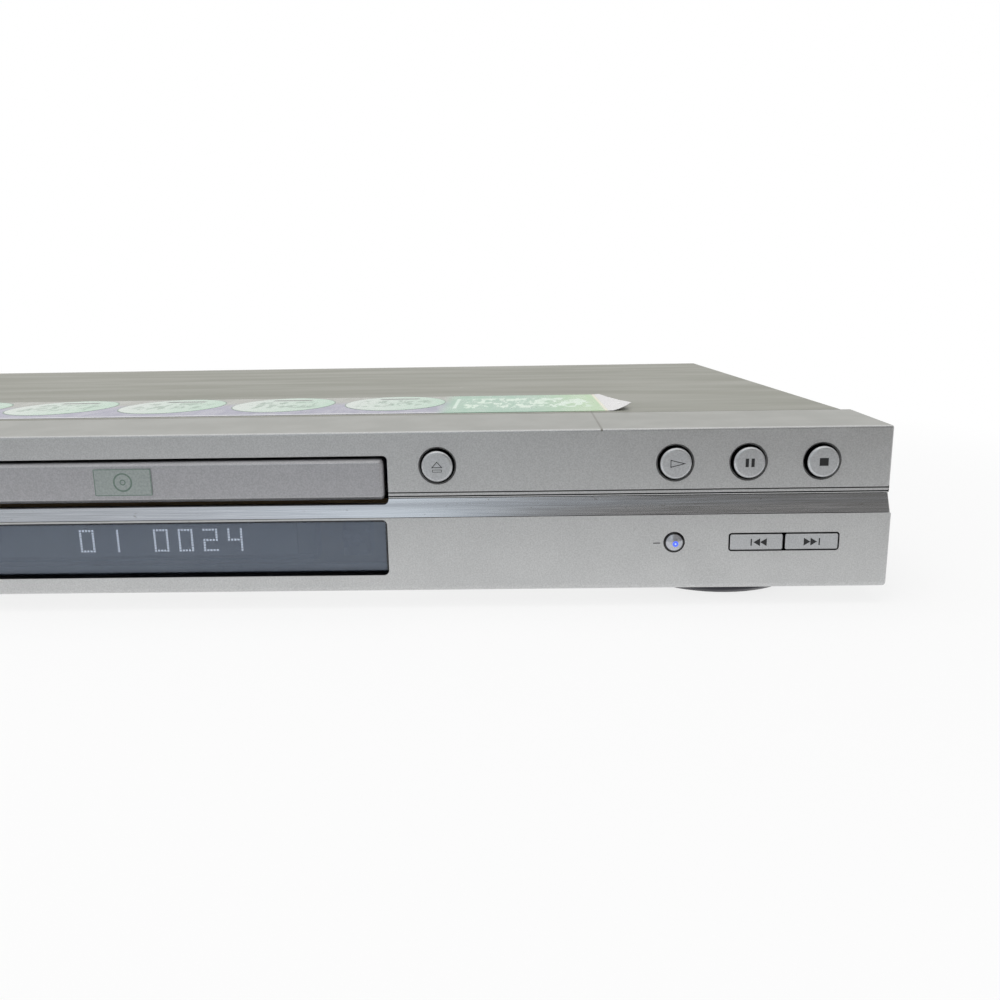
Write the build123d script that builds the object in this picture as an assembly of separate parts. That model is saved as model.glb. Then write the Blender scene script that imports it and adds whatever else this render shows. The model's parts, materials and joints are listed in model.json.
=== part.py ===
from build123d import *
import math
import os

# A full-width disc player with a motor-driven tray. Millimetres.
# +X points to the right as seen from the front, +Y to the back and +Z up. The origin lies on the
# surface that the player stands on, in the middle of its overall width and depth.
# Heights count from the lower edge of the front panel, and depths from the panel's lower face.
# up() and back() place them in the frame.

# Sheet metal and cabinet
cabinet_width = 430.0
cabinet_depth = 260.0
sheet = 0.8
sheet_gap = 0.1
cover_inset = 2.1
cover_seam = 0.35
cover_rise = 0.8
cover_bend = 1.6
cover_lip = 10.0
pan_flange = 28.0
pan_hem = 6.0
vent_count = 8
vent_length = 30.0
vent_width = 3.0
vent_pitch = 8.0
vent_edge_gap = 12.0
vent_low = 8.0

# Feet
foot_height = 5.0
foot_radius = 26.0
foot_edge = 1.2
front_foot_depth = 36.0
rear_foot_depth = 225.0
foot_end_gap = 42.0

# Front panel
panel_wall = 2.5
panel_depth = 34.0
lower_face = 21.6
band_rise = 5.2
upper_face = 18.8
upper_setback = 2.5
panel_lip = 8.0
panel_corner = 1.5
panel_edge = 0.7
groove_width = 0.35
groove_depth = 0.4
groove_heights = (27.25, 28.3)
band_thickness = 0.8
band_gap = 0.15

# Tray door and its opening
opening_half_width = 74.7
opening_low = 25.1
opening_high = 38.9
opening_corner = 1.3
door_side_gap = 1.1
door_low_gap = 1.2
door_high_gap = 0.9
door_face = 2.0
door_thickness = 3.0
door_chamfer = 1.1
badge_width = 16.4
badge_height = 7.8
badge_low = 28.5
badge_thickness = 0.25

# Display window
window_half_width = 74.35
window_low = 4.9
window_high = 21.07
window_corner = 1.5
window_gap = 0.2
window_recess = 0.3
window_bevel = 1.4
window_flange = 1.5
window_flange_thickness = 1.2
tube_end_gap = 22.35
tube_low = 7.2
tube_high = 20.9
tube_thickness = 6.4
receiver_end_gap = 10.35
receiver_width = 8.0
receiver_low = 8.5
receiver_height = 9.0

# Round buttons, on the upper face. Power is at the left end; play, pause and stop at the right.
round_height = 35.9
round_end_gap = 19.3
round_pitch = 20.3
eject_gap = 14.05
round_hole = 4.85
round_hole_bevel = 0.5
button_gap = 0.5
button_proud = 1.6
button_taper = 0.5
flange_extra = 1.2
flange_thickness = 1.2
seat_gap = 0.1
stem_radius = 1.8
button_travel = 0.8
switch_gap = 0.2

# Previous and next keys, in one recess on the lower face
keys_end_gap = 14.0
keys_length = 30.9
keys_low = 10.9
keys_high = 16.2
keys_corner = 0.9
keys_gap = 0.45
keys_split = 0.7
keys_proud = 0.4

# Lamp
lamp_shift = 0.2
lamp_height = 13.7
lamp_hole = 3.0
lamp_gap = 0.2
lamp_dome = 0.9
led_radius = 1.5
led_base_radius = 2.25

# Front board
board_thickness = 1.6
front_board_depth = 15.0
front_board_low = 2.0
front_board_step = 24.0
front_board_high = 42.4
front_board_side_gap = 6.0
front_board_notch_gap = 7.3
switch_body = 6.0
switch_thickness = 3.4
switch_plunger = 1.6
switch_plunger_length = 0.9
post_radius = 2.5
post_end_gap = 40.0
post_inner_gap = 20.0

# Disc tray. hub_depth is the middle of the disc when the tray is shut.
disc_radius = 60.0
hub_depth = 70.0
tray_travel = 130.0
tray_half_width = 72.5
tray_low = 28.0
tray_high = 36.7
tray_length = 180.0
tray_floor_low = 29.5
tray_well_floor = 31.5
tray_small_well_floor = 30.9
tray_skin = 2.0
tray_skirt = 4.5
well_clearance = 0.5
small_disc_radius = 40.0
slot_half_width = 18.0
scallop_radius = 9.0
scallop_floor = 33.0

# Rack and loading gears
gear_module = 0.8
addendum_share = 0.75
dedendum_share = 1.1
backlash = 0.16
pressure_angle = math.radians(20)
drive_teeth = 40
pinion_teeth = 12
gear_low = 25.9
gear_thickness = 2.5
rack_drop = 0.3
rack_width = 5.0
rack_pitch_x = -61.0
drive_gear_depth = 34.0
gear_post = 2.0
gear_post_boss = 4.0
running_gap = 0.05
pulley_low = 23.2
pulley_thickness = 2.3
pulley_radius = 13.0
pulley_post = 1.5
motor_pulley_radius = 4.0
belt_groove = 1.0
belt_size = 1.3
belt_gap = 0.2
motor_x = 14.0
motor_depth = 30.0
loading_motor_radius = 12.0
loading_motor_length = 12.3
motor_shaft = 1.0

# Loader frame
loader_wall = 2.5
loader_gap = 2.5
loader_front = 17.2
loader_rear = 200.0
loader_low = 5.0
loader_plate = 2.0
loader_top = 38.0
deck_high = 22.8
deck_rear = 47.0
ledge_gap = 0.2
ledge_thickness = 2.0
tab_gap = 0.4
tab_reach = 4.0
tab_length = 10.0
tab_front_gap = 2.0
tab_rear_gap = 20.0
lug_size = 12.0
lug_reach = 9.0
lug_post_rim = 1.0
floor_cut_half = 36.0
floor_cut_front = 62.0
floor_cut_rear = 142.0

# Cam slider and traverse
cam_travel = 13.0
cam_half_width = 26.0
cam_high = 24.0
cam_low = 10.9
cam_thickness = 2.5
cam_ledge = 3.6
cam_end_cut = 6.0
cam_gap = 0.3
traverse_drop_deg = 3.5
pivot_gap = 12.0
pivot_height = 20.0
pivot_radius = 2.0
pivot_length = 3.6
bracket_thickness = 3.0
bracket_gap = 0.6
bracket_rim = 3.0
cam_pin_height = 20.5
cam_pin_radius = 1.5
cam_slot_gap = 0.35
traverse_half_width = 46.0
traverse_front = 52.0
traverse_tail = 5.0
traverse_plate_low = 22.5
traverse_plate = 1.5
traverse_skirt_low = 14.5
traverse_wall = 2.0

# Spindle, turntable and clamper
spindle_motor_radius = 12.0
turntable_gap = 0.3
turntable_radius = 15.0
turntable_high = 32.7
turntable_thickness = 2.0
cone_radius = 7.4
cone_height = 1.7
spindle_shaft = 1.0
clamper_gap = 0.3
clamper_radius = 15.0
clamper_hole_gap = 1.0
clamper_flange = 2.5
clamper_flange_thickness = 1.2
bridge_thickness = 1.2
bridge_half_depth = 20.0
bridge_peg_wall = 0.45

# Pickup sled and its feed
lens_radius = 3.5
lens_high = 30.8
sled_start = 24.0
sled_travel = 34.0
sled_half_width = 24.0
sled_front_reach = 8.0
sled_rear_reach = 14.0
rod_end_gap = 1.0
sled_low = 16.5
sled_high = 26.5
sled_ear_high = 22.0
sled_window_gap = 1.0
rod_x = 31.0
rod_height = 19.5
rod_radius = 1.5
rod_clearance = 0.08
rod_wall = 2.5
screw_x = 38.0
feed_screw_radius = 1.5
feed_motor_radius = 5.5
feed_motor_length = 11.5
feed_motor_gap = 0.5
follower_length = 4.0
follower_half_height = 1.0

# Boards behind the loader
board_height = 8.8
main_board_front = 90.0
main_board_side = 92.0
main_board_rear_strip = 207.0
main_board_strip_side = 4.0
power_board_front = 60.0
power_board_side = 96.0
board_edge_gap = 6.0
rear_board_gap = 6.0
strip_rear_gap = 1.0
post_edge_gap = 6.0
post_far_gap = 8.0
power_board_rear_cut = 20.0
power_post_rear_gap = 32.0
ribbon_thickness = 0.8
ribbon_width = 20.0
ribbon_drop = 4.0
ribbon_slope = 10.0
ribbon_plug = 2.0
ribbon_side_gap = 30.0
main_ribbon_gap = 6.0
power_ribbon_gap = 4.0

# Parts on the boards: sizes are (width, length, height)
processor_size = (28.0, 28.0, 3.0)
processor_gap = 45.0
memory_size = (12.0, 20.0, 1.6)
memory_side = 32.0
memory_pitch = 27.0
driver_size = (16.0, 16.0, 2.0)
driver_side = 4.0
driver_gap = 82.0
connector_size = (24.0, 6.0, 6.0)
connector_side = 20.0
connector_gap = 14.0
bobbin_size = (22.0, 30.0, 22.0)
core_size = (34.0, 14.0, 25.0)
transformer_gap = 90.0
transformer_side = 8.0
can_side = 22.0
can_gap = 40.0
can_row = ((0.0, 0.0, 9.0, 28.0), (24.0, 0.0, 6.0, 20.0), (40.0, 0.0, 6.0, 20.0), (0.0, 28.0, 5.0, 16.0))
can_rim_share = 0.15
sink_side = 16.0
sink_plate = 3.0
sink_length = 40.0
sink_height = 24.0
sink_fin = 2.0
sink_fin_reach = 8.5
sink_fin_pitch = 8.0
sink_fin_count = 5

# Rear sockets: (distance from the middle, height) of each
rca_white = ((-40.0, 29.5),)
rca_red = ((-40.0, 17.0), (-118.0, 17.0))
rca_yellow = ((-58.0, 29.5),)
rca_green = ((-82.0, 17.0),)
rca_blue = ((-100.0, 17.0),)
rca_orange = ((-140.0, 17.0),)
barrel_reach = 8.3
barrel_radius = 4.15
barrel_wall = 0.65
barrel_foot = 0.45
collar_radius = 5.6
collar_proud = 1.2
core_recess = 1.3
pin_hole = 1.6
socket_block = 12.0
svideo_x = -58.0
svideo_height = 17.0
svideo_radius = 5.8
svideo_bore = 4.3
inlet_end_gap = 37.0
inlet_height = 18.0
inlet_width = 15.4
inlet_tall = 8.8
inlet_depth = 11.0
inlet_flange_width = 26.0
inlet_flange_height = 17.0
inlet_pin_pitch = 8.6
inlet_pin_radius = 1.2
inlet_pin_recess = 2.0
inlet_rim = 2.5
inlet_back = 3.0
inlet_hole_rim = 2.0
rear_screw_x = (-20.0, -155.0)

# Screws
screw_head = 2.8
screw_head_thickness = 1.1
screw_shank = 1.4
screw_shank_gap = 0.1
screw_length = 5.0
side_screw_gap = 24.0
rear_screw_share = 0.75

# Feature label on the cover
label_left_gap = 70.0
label_right_gap = 75.0
label_front = 38.0
label_rear = 90.0
label_thickness = 0.15
curl_width = 8.0
curl_lift = 2.0
curl_steps = 4

# Sizes that follow from the ones above
panel_height = lower_face + band_rise + upper_face
cover_top = panel_height + cover_rise
panel_half = cabinet_width / 2
cover_half = panel_half - cover_inset
pan_half = cover_half - sheet - sheet_gap
foot_x = panel_half - foot_end_gap
power_x = -panel_half + round_end_gap
stop_x = panel_half - round_end_gap
pause_x = stop_x - round_pitch
play_x = pause_x - round_pitch
eject_x = opening_half_width + eject_gap
lamp_x = play_x - lamp_shift
keys_high_x = panel_half - keys_end_gap
keys_low_x = keys_high_x - keys_length
tube_half_width = window_half_width - tube_end_gap
receiver_x = window_half_width - receiver_end_gap
front_board_notch = opening_half_width + front_board_notch_gap
inlet_x = panel_half - inlet_end_gap
label_low_x = -panel_half + label_left_gap
label_high_x = panel_half - label_right_gap
rear_outer = cabinet_depth - sheet - sheet_gap
rear_inner = rear_outer - sheet
overall_depth = rear_outer + barrel_reach
front_y = -overall_depth / 2
upper_inner = upper_setback + panel_wall
tray_front = door_face + door_thickness
tray_rear = tray_front + tray_length
loader_inner = tray_half_width + loader_gap
loader_outer = loader_inner + loader_wall
well_radius = disc_radius + well_clearance
drive_radius = gear_module * drive_teeth / 2
pinion_radius = gear_module * pinion_teeth / 2
drive_gear_x = rack_pitch_x + drive_radius
tooth_step = 2 * math.pi / drive_teeth
pulley_x = drive_gear_x + (drive_radius + pinion_radius) * math.cos(tooth_step)
pulley_depth = drive_gear_depth - (drive_radius + pinion_radius) * math.sin(tooth_step)
deck_low = deck_high - loader_plate
cam_front = deck_rear + cam_gap
cam_rear = cam_front + cam_thickness
turntable_low = turntable_high - turntable_thickness
clamper_low = turntable_high + cone_height + clamper_gap
bridge_top = loader_top + bridge_thickness
rod_front = hub_depth + spindle_motor_radius
rod_rear = hub_depth + sled_start + sled_travel + sled_rear_reach + rod_end_gap
pivot_depth = rod_rear + pivot_gap
traverse_rear = pivot_depth + traverse_tail
board_low = board_height - board_thickness
main_board_left = -pan_half + board_edge_gap
power_board_right = pan_half - board_edge_gap
lamp_radius = lamp_hole - lamp_gap
bridge_peg = loader_wall / 2 - bridge_peg_wall


def up(height):
    """Z of a height above the lower edge of the front panel."""
    return foot_height + height


def back(depth):
    """Y of a depth behind the lower face of the front panel."""
    return front_y + depth


def block(x_span, depth_span, height_span):
    """A box from its spans of X, depth and height."""
    spans = (x_span, [back(d) for d in depth_span], [up(h) for h in height_span])
    sizes = [high - low for low, high in spans]
    middles = [(high + low) / 2 for low, high in spans]
    return Pos(*middles) * Box(*sizes)


def mirrored_blocks(x_span, depth_span, height_span):
    """The box and its twin on the other side of the player."""
    low, high = x_span
    return block(x_span, depth_span, height_span) + block((-high, -low), depth_span, height_span)


def upright(x, depth, height_span, radius):
    """A cylinder that stands on end."""
    low, high = height_span
    return Pos(x, back(depth), up((low + high) / 2)) * Cylinder(radius, high - low)


def level(x, height, depth_span, radius):
    """A cylinder that points from front to back."""
    low, high = depth_span
    return Pos(x, back((low + high) / 2), up(height)) * Rot(90, 0, 0) * Cylinder(radius, high - low)


def crosswise(x_span, depth, height, radius):
    """A cylinder that points from side to side."""
    low, high = x_span
    return Pos((low + high) / 2, back(depth), up(height)) * Rot(0, 90, 0) * Cylinder(radius, high - low)


def rounded_plate(x_span, depth_span, height_span, corner):
    """A plate with rounded corners as seen from the front."""
    (x_low, x_high), (near, far), (low, high) = x_span, depth_span, height_span
    face = Plane.XZ * RectangleRounded(x_high - x_low, high - low, corner)
    centre = Pos((x_low + x_high) / 2, back(far), up((low + high) / 2))
    return extrude(centre * face, amount=far - near, dir=(0, -1, 0))


def profile(points, x_span):
    """A solid with one side view, given as (depth, height) points, between two values of X."""
    outline = [(back(depth), up(height)) for depth, height in points]
    face = Plane.YZ.offset(x_span[0]) * Polygon(*outline, align=None)
    return extrude(face, amount=x_span[1] - x_span[0], dir=(1, 0, 0))


def group(shapes):
    """Separate solids that share a node."""
    return Compound(children=list(shapes))


def front_panel():
    """Moulded panel: lower face, slanted seat for the strip, upper face, top, sides and lip."""
    band_top = lower_face + band_rise
    outline = [
        (0, 0),
        (0, lower_face),
        (band_thickness, lower_face),
        (upper_setback + band_thickness, band_top),
        (upper_setback, band_top),
        (upper_setback, panel_height),
        (panel_depth, cover_top),
        (panel_depth, 0),
    ]
    shell = profile(outline, (-panel_half, panel_half))
    long_edges = shell.edges().filter_by(Axis.X).filter_by(lambda e: e.center().Y < back(upper_inner))
    shell = fillet(long_edges.filter_by(lambda e: e.center().Z > up(panel_height - panel_wall)), panel_edge)
    long_edges = shell.edges().filter_by(Axis.X).filter_by(lambda e: e.center().Y < back(upper_inner))
    shell = fillet(long_edges.filter_by(lambda e: e.center().Z < up(panel_wall)), panel_corner)
    for side in (0, -1):
        end_face = shell.faces().filter_by(Axis.X).sort_by(Axis.X)[side]
        rim = end_face.edges().filter_by(lambda e: e.center().Y < back(panel_depth) - panel_edge)
        shell = fillet(rim, panel_edge)
    hollow = [
        (panel_wall, panel_wall),
        (panel_wall, lower_face - panel_wall / 2),
        (upper_inner, band_top),
        (upper_inner, panel_height - panel_wall),
        (panel_depth + 1, cover_top - panel_wall),
        (panel_depth + 1, -1),
        (panel_lip, -1),
        (panel_lip, panel_wall),
    ]
    inner_half = panel_half - panel_wall
    shell -= profile(hollow, (-inner_half, inner_half))
    shell -= tray_opening()
    for x in round_positions():
        shell -= level(x, round_height, (0, upper_inner + 1), round_hole)
        bevel = Pos(x, back(upper_setback + round_hole_bevel / 2), up(round_height)) * Rot(90, 0, 0)
        shell -= bevel * Cone(round_hole, round_hole + round_hole_bevel, round_hole_bevel)
    keys = ((keys_low_x, keys_high_x), (-1, panel_wall + 1), (keys_low, keys_high))
    shell -= rounded_plate(*keys, keys_corner)
    shell -= level(lamp_x, lamp_height, (-1, panel_wall + 1), lamp_hole)
    window = ((-window_half_width, window_half_width), (-1, panel_wall + 1), (window_low, window_high))
    shell -= rounded_plate(*window, window_corner)
    for height in groove_heights:
        span = (height - groove_width / 2, height + groove_width / 2)
        shell -= block((-panel_half - 1, panel_half + 1), (0, upper_setback + groove_depth), span)
    for x in board_posts():
        shell += level(x, lamp_height, (panel_wall, front_board_depth), post_radius)
    return shell


def tray_opening():
    """The space that the tray passes through, as a solid to cut away."""
    spans = ((-opening_half_width, opening_half_width), (-1, upper_inner + 1), (opening_low, opening_high))
    return rounded_plate(*spans, opening_corner)


def round_positions():
    """X of every round button."""
    return (power_x, eject_x, play_x, pause_x, stop_x)


def board_posts():
    """X of the posts behind the panel that the front board is held to."""
    left = (-panel_half + post_end_gap, -window_half_width - post_inner_gap)
    return (*left, window_half_width + post_inner_gap, lamp_x - post_inner_gap)


def trim_strip():
    """Aluminium strip in its slanted seat, notched under the tray door."""
    slope = upper_setback / band_rise
    low = lower_face + band_gap
    high = lower_face + band_rise - band_gap
    outline = [
        (band_gap * slope, low),
        (upper_setback - band_gap * slope, high),
        (upper_setback - band_gap * slope + band_thickness, high),
        (band_gap * slope + band_thickness, low),
    ]
    strip = profile(outline, (-panel_half + panel_edge, panel_half - panel_edge))
    return strip - tray_opening()


def tray_door_piece():
    """Door plate on the front of the tray."""
    half = opening_half_width - door_side_gap
    low = opening_low + door_low_gap
    high = opening_high - door_high_gap
    door = rounded_plate((-half, half), (door_face, tray_front), (low, high), door_chamfer + 0.2)
    rim = door.edges().group_by(Axis.Y)[0]
    return chamfer(rim, door_chamfer)


def door_plate():
    """Small plate in the middle of the door."""
    half = badge_width / 2
    spans = ((-half, half), (door_face - badge_thickness, door_face), (badge_low, badge_low + badge_height))
    return rounded_plate(*spans, door_chamfer / 2)


def window():
    """Smoked window: a front block with a bevelled lower edge, and a flange behind the panel."""
    half = window_half_width - window_gap
    low = window_low + window_gap
    high = window_high - window_gap
    spans = ((-half, half), (window_recess, panel_wall), (low, high))
    lens = rounded_plate(*spans, window_corner - window_gap)
    cut = [
        (window_recess - 1, low - 1),
        (window_recess - 1, low + window_bevel + 1),
        (window_recess, low + window_bevel),
        (window_recess + window_bevel, low),
        (window_recess + window_bevel + 1, low - 1),
    ]
    lens -= profile(cut, (-half - 1, half + 1))
    flange_half = window_half_width + window_flange
    flange = block(
        (-flange_half, flange_half),
        (panel_wall, panel_wall + window_flange_thickness),
        (window_low - window_flange, tube_low + window_flange),
    )
    flange += block(
        (-flange_half, flange_half),
        (panel_wall, panel_wall + window_flange_thickness),
        (window_low, lower_face - panel_wall / 2),
    )
    return lens + flange


def display():
    """Glass display tube on the front board."""
    face = front_board_depth - tube_thickness
    tube = block((-tube_half_width, tube_half_width), (face, front_board_depth), (tube_low, tube_high))
    return chamfer(tube.edges().group_by(Axis.Y)[0], tube_thickness / 8)


def receiver():
    """Remote-control receiver with its domed lens."""
    half = receiver_width / 2
    middle = receiver_low + receiver_height / 2
    body = block(
        (receiver_x - half, receiver_x + half),
        (front_board_depth - tube_thickness, front_board_depth),
        (receiver_low, receiver_low + receiver_height),
    )
    dome = Pos(receiver_x, back(front_board_depth - tube_thickness), up(middle)) * Sphere(half / 2)
    return body + dome


def front_circuit():
    """Front board: a low strip under the tray and a raised part at each end."""
    half = panel_half - panel_wall - front_board_side_gap
    depths = (front_board_depth, front_board_depth + board_thickness)
    board = block((-half, half), depths, (front_board_low, front_board_step))
    return board + mirrored_blocks((front_board_notch, half), depths, (front_board_step, front_board_high))


def key_middles():
    """X of the middle of the previous key and of the next key."""
    middle = (keys_low_x + keys_high_x) / 2
    reach = (keys_high_x - keys_low_x) / 4
    return (middle - reach, middle + reach)


def switch_places():
    """(X, height) of every switch on the front board."""
    key_height = (keys_low + keys_high) / 2
    return [(x, round_height) for x in round_positions()] + [(x, key_height) for x in key_middles()]


def switches():
    """Tact switches, one behind each button."""
    made = []
    for x, height in switch_places():
        half = switch_body / 2
        front = front_board_depth - switch_thickness
        body = block((x - half, x + half), (front, front_board_depth), (height - half, height + half))
        made.append(body + level(x, height, (front - switch_plunger_length, front), switch_plunger))
    return group(made)


def stem_end():
    """Depth of the back end of every button's stem, short of its switch by the travel."""
    plunger_front = front_board_depth - switch_thickness - switch_plunger_length
    return plunger_front - button_travel - switch_gap


def round_button(x):
    """Round cap with a tapered rim, its flange behind the panel, and its stem."""
    radius = round_hole - button_gap
    front = upper_setback - button_proud
    cap = level(x, round_height, (front, upper_inner + seat_gap), radius)
    cap = chamfer(cap.edges().group_by(Axis.Y)[0], button_taper)
    flange_front = upper_inner + seat_gap
    flange_rear = flange_front + flange_thickness
    flange = level(x, round_height, (flange_front, flange_rear), round_hole + flange_extra)
    return cap + flange + level(x, round_height, (flange_rear, stem_end()), stem_radius)


def skip_key(x, outer_side):
    """Half of the key pair: a flat cap in the common recess, its flange and its stem."""
    half = (keys_high_x - keys_low_x) / 4
    inner = keys_split / 2
    low_x = x - half + (keys_gap if outer_side < 0 else inner)
    high_x = x + half - (keys_gap if outer_side > 0 else inner)
    heights = (keys_low + keys_gap, keys_high - keys_gap)
    cap = rounded_plate((low_x, high_x), (-keys_proud, panel_wall + seat_gap), heights, keys_gap)
    cap = chamfer(cap.edges().group_by(Axis.Y)[0], button_taper / 2)
    flange_front = panel_wall + seat_gap
    flange = block(
        (low_x - (flange_extra if outer_side < 0 else 0), high_x + (flange_extra if outer_side > 0 else 0)),
        (flange_front, flange_front + flange_thickness),
        (keys_low - flange_extra, keys_high + flange_extra),
    )
    stem = level(x, (keys_low + keys_high) / 2, (flange_front + flange_thickness, stem_end()), stem_radius)
    return cap + flange + stem


def lamp_lens():
    """Clear lens with a domed front, and a flange behind the panel."""
    barrel = level(lamp_x, lamp_height, (0, panel_wall), lamp_radius)
    curve = (lamp_radius ** 2 + lamp_dome ** 2) / (2 * lamp_dome)
    dome = Pos(lamp_x, back(curve - lamp_dome), up(lamp_height)) * Sphere(curve)
    dome &= level(lamp_x, lamp_height, (-lamp_dome - 1, 0), lamp_radius)
    flange_depths = (panel_wall, panel_wall + flange_thickness)
    flange = level(lamp_x, lamp_height, flange_depths, lamp_hole + flange_extra)
    return barrel + dome + flange


def lamp_diode():
    """Blue light-emitting diode on a spacer, behind the lens."""
    front = panel_wall + flange_thickness + lamp_gap + led_radius
    bulb = Pos(lamp_x, back(front), up(lamp_height)) * Sphere(led_radius)
    base = front_board_depth - switch_thickness
    body = level(lamp_x, lamp_height, (front, base), led_radius)
    return bulb + body + level(lamp_x, lamp_height, (base, front_board_depth), led_base_radius)


def cover():
    """Steel cover: top and sides bent from one sheet, with a lip over the rear panel."""
    front = panel_depth + cover_seam
    outer = Rectangle(2 * cover_half, cover_top)
    inner = Pos(0, -sheet) * Rectangle(2 * (cover_half - sheet), cover_top)
    outer = fillet(outer.vertices().group_by(Axis.Y)[-1], cover_bend)
    inner = fillet(inner.vertices().group_by(Axis.Y)[-1], cover_bend - sheet)
    section = Plane.XZ * (outer - inner)
    section = Pos(0, back(cabinet_depth), up(cover_top / 2)) * section
    shell = extrude(section, amount=cabinet_depth - front, dir=(0, -1, 0))
    lip_half = cover_half - cover_bend
    lip_depths = (cabinet_depth - sheet, cabinet_depth)
    shell += block((-lip_half, lip_half), lip_depths, (cover_top - cover_lip, cover_top - sheet))
    for shank in cover_screw_holes():
        shell -= shank
    return shell


def cover_side_screws():
    """(side, depth, height) of the screws on the cover's sides."""
    height = pan_flange / 2
    depths = (front_foot_depth + side_screw_gap, rear_foot_depth)
    return [(side, depth, height) for side in (-1, 1) for depth in depths]


def cover_rear_screws():
    """(X, height) of the screws on the cover's rear lip."""
    height = cover_top - cover_lip / 2
    reach = cover_half * rear_screw_share
    return [(x, height) for x in (-reach, 0, reach)]


def screw_y(x, height, seat_depth, gap=0.0):
    """Screw that goes in from behind: a domed head on its seat and a shank."""
    head = level(x, height, (seat_depth, seat_depth + screw_head_thickness), screw_head)
    head = fillet(head.edges().group_by(Axis.Y)[-1], screw_head_thickness / 2)
    shank = level(x, height, (seat_depth - screw_length, seat_depth), screw_shank + gap)
    return head, shank


def screw_x_side(side, depth, height, gap=0.0):
    """Screw that goes in from one side of the cover."""
    head_span = sorted((side * cover_half, side * (cover_half + screw_head_thickness)))
    shank_span = sorted((side * cover_half, side * (cover_half - screw_length)))
    head = crosswise(head_span, depth, height, screw_head)
    outer_edge = head.edges().filter_by(GeomType.CIRCLE).sort_by(Axis.X)[0 if side < 0 else -1]
    head = fillet(outer_edge, screw_head_thickness / 2)
    return head, crosswise(shank_span, depth, height, screw_shank + gap)


def screw_z(x, depth, seat_height, direction, gap=0.0):
    """Upright screw: direction is +1 where its head is on top and -1 where it is below."""
    head_span = sorted((seat_height, seat_height + direction * screw_head_thickness))
    shank_span = sorted((seat_height, seat_height - direction * screw_length))
    return upright(x, depth, head_span, screw_head), upright(x, depth, shank_span, screw_shank + gap)


def cover_screw_holes():
    """Shanks of the cover's screws with their clearance, as solids to cut away."""
    holes = [screw_x_side(*place, gap=screw_shank_gap)[1] for place in cover_side_screws()]
    return holes + [screw_y(x, h, cabinet_depth, gap=screw_shank_gap)[1] for x, h in cover_rear_screws()]


def cover_screws():
    """The screws that hold the cover, two on each side and three at the back."""
    pairs = [screw_x_side(*place) for place in cover_side_screws()]
    pairs += [screw_y(x, height, cabinet_depth) for x, height in cover_rear_screws()]
    return group([head + shank for head, shank in pairs])


def loader_lugs():
    """(X, depth) of the loader frame's four screws."""
    x = loader_outer + lug_reach / 2
    depths = (loader_front + lug_size, loader_rear - lug_size)
    return [(side * x, depth) for side in (-1, 1) for depth in depths]


def main_board_posts():
    """(X, depth) of the stand-offs under the main board."""
    far_x = main_board_left + post_edge_gap
    near_depth = main_board_front + post_far_gap
    far_depth = rear_inner - rear_board_gap - post_far_gap
    near_row = [(far_x, near_depth), (-main_board_side - post_far_gap, near_depth)]
    return near_row + [(far_x, far_depth), (-main_board_side, far_depth)]


def power_board_posts():
    """(X, depth) of the stand-offs under the power board."""
    xs = (power_board_right - post_edge_gap, power_board_side + post_far_gap)
    depths = (power_board_front + post_far_gap, rear_inner - rear_board_gap - power_post_rear_gap)
    return [(x, depth) for depth in depths for x in xs]


def foot_places():
    """(X, depth) of the four feet."""
    return [(side * foot_x, depth) for depth in (front_foot_depth, rear_foot_depth) for side in (-1, 1)]


def pan_top_screws():
    """(X, depth, seat height) of the screws that go down into the pan's posts."""
    places = [(x, depth, loader_low + loader_plate) for x, depth in loader_lugs()]
    boards = main_board_posts() + power_board_posts()
    return places + [(x, depth, board_height) for x, depth in boards]


def chassis():
    """Chassis pan: base, side flanges, front hem, posts, and vents in the base."""
    front = panel_lip + sheet_gap * 2
    pan = block((-pan_half, pan_half), (front, rear_outer), (0, sheet))
    pan += mirrored_blocks((pan_half - sheet, pan_half), (panel_depth, rear_inner), (sheet, pan_flange))
    hem_half = pan_half - panel_wall
    pan += block((-hem_half, hem_half), (front, front + sheet), (sheet, pan_hem))
    for x, depth in loader_lugs():
        pan += upright(x, depth, (sheet, loader_low), screw_head + lug_post_rim)
    for x, depth in main_board_posts() + power_board_posts():
        pan += upright(x, depth, (sheet, board_low), screw_head)
    for x, depth, seat in pan_top_screws():
        pan -= screw_z(x, depth, seat, 1, gap=screw_shank_gap)[1]
    for place in cover_side_screws():
        pan -= screw_x_side(*place, gap=screw_shank_gap)[1]
    for x, depth in foot_places():
        pan -= screw_z(x, depth, -foot_height / 2, -1, gap=screw_shank_gap)[1]
    middle_x = (power_board_side + pan_half) / 2
    for side in (-1, 1):
        for index in range(vent_count):
            depth = rear_foot_depth - foot_radius - vent_edge_gap - index * vent_pitch
            x_span = (side * middle_x - vent_length / 2, side * middle_x + vent_length / 2)
            pan -= block(x_span, (depth - vent_width / 2, depth + vent_width / 2), (-1, sheet + 1))
    return pan


def feet():
    """Four round feet, each with a recess for its screw."""
    made = []
    for x, depth in foot_places():
        foot = upright(x, depth, (-foot_height, 0), foot_radius)
        foot = chamfer(foot.edges().group_by(Axis.Z)[0], foot_edge)
        head, shank = screw_z(x, depth, -foot_height / 2, -1, gap=screw_shank_gap)
        recess = upright(x, depth, (-foot_height, -foot_height / 2), screw_head + foot_edge)
        made.append(foot - recess - shank)
    return group(made)


def chassis_screws():
    """Screws of the feet, the loader and the boards, all of one kind."""
    pairs = [screw_z(x, depth, seat, 1) for x, depth, seat in pan_top_screws()]
    pairs += [screw_z(x, depth, -foot_height / 2, -1) for x, depth in foot_places()]
    return group([head + shank for head, shank in pairs])


def rca_sockets():
    """(X, height) of every phono socket, seen from the front."""
    rows = (rca_white, rca_red, rca_yellow, rca_green, rca_blue, rca_orange)
    return [place for row in rows for place in row]


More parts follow.
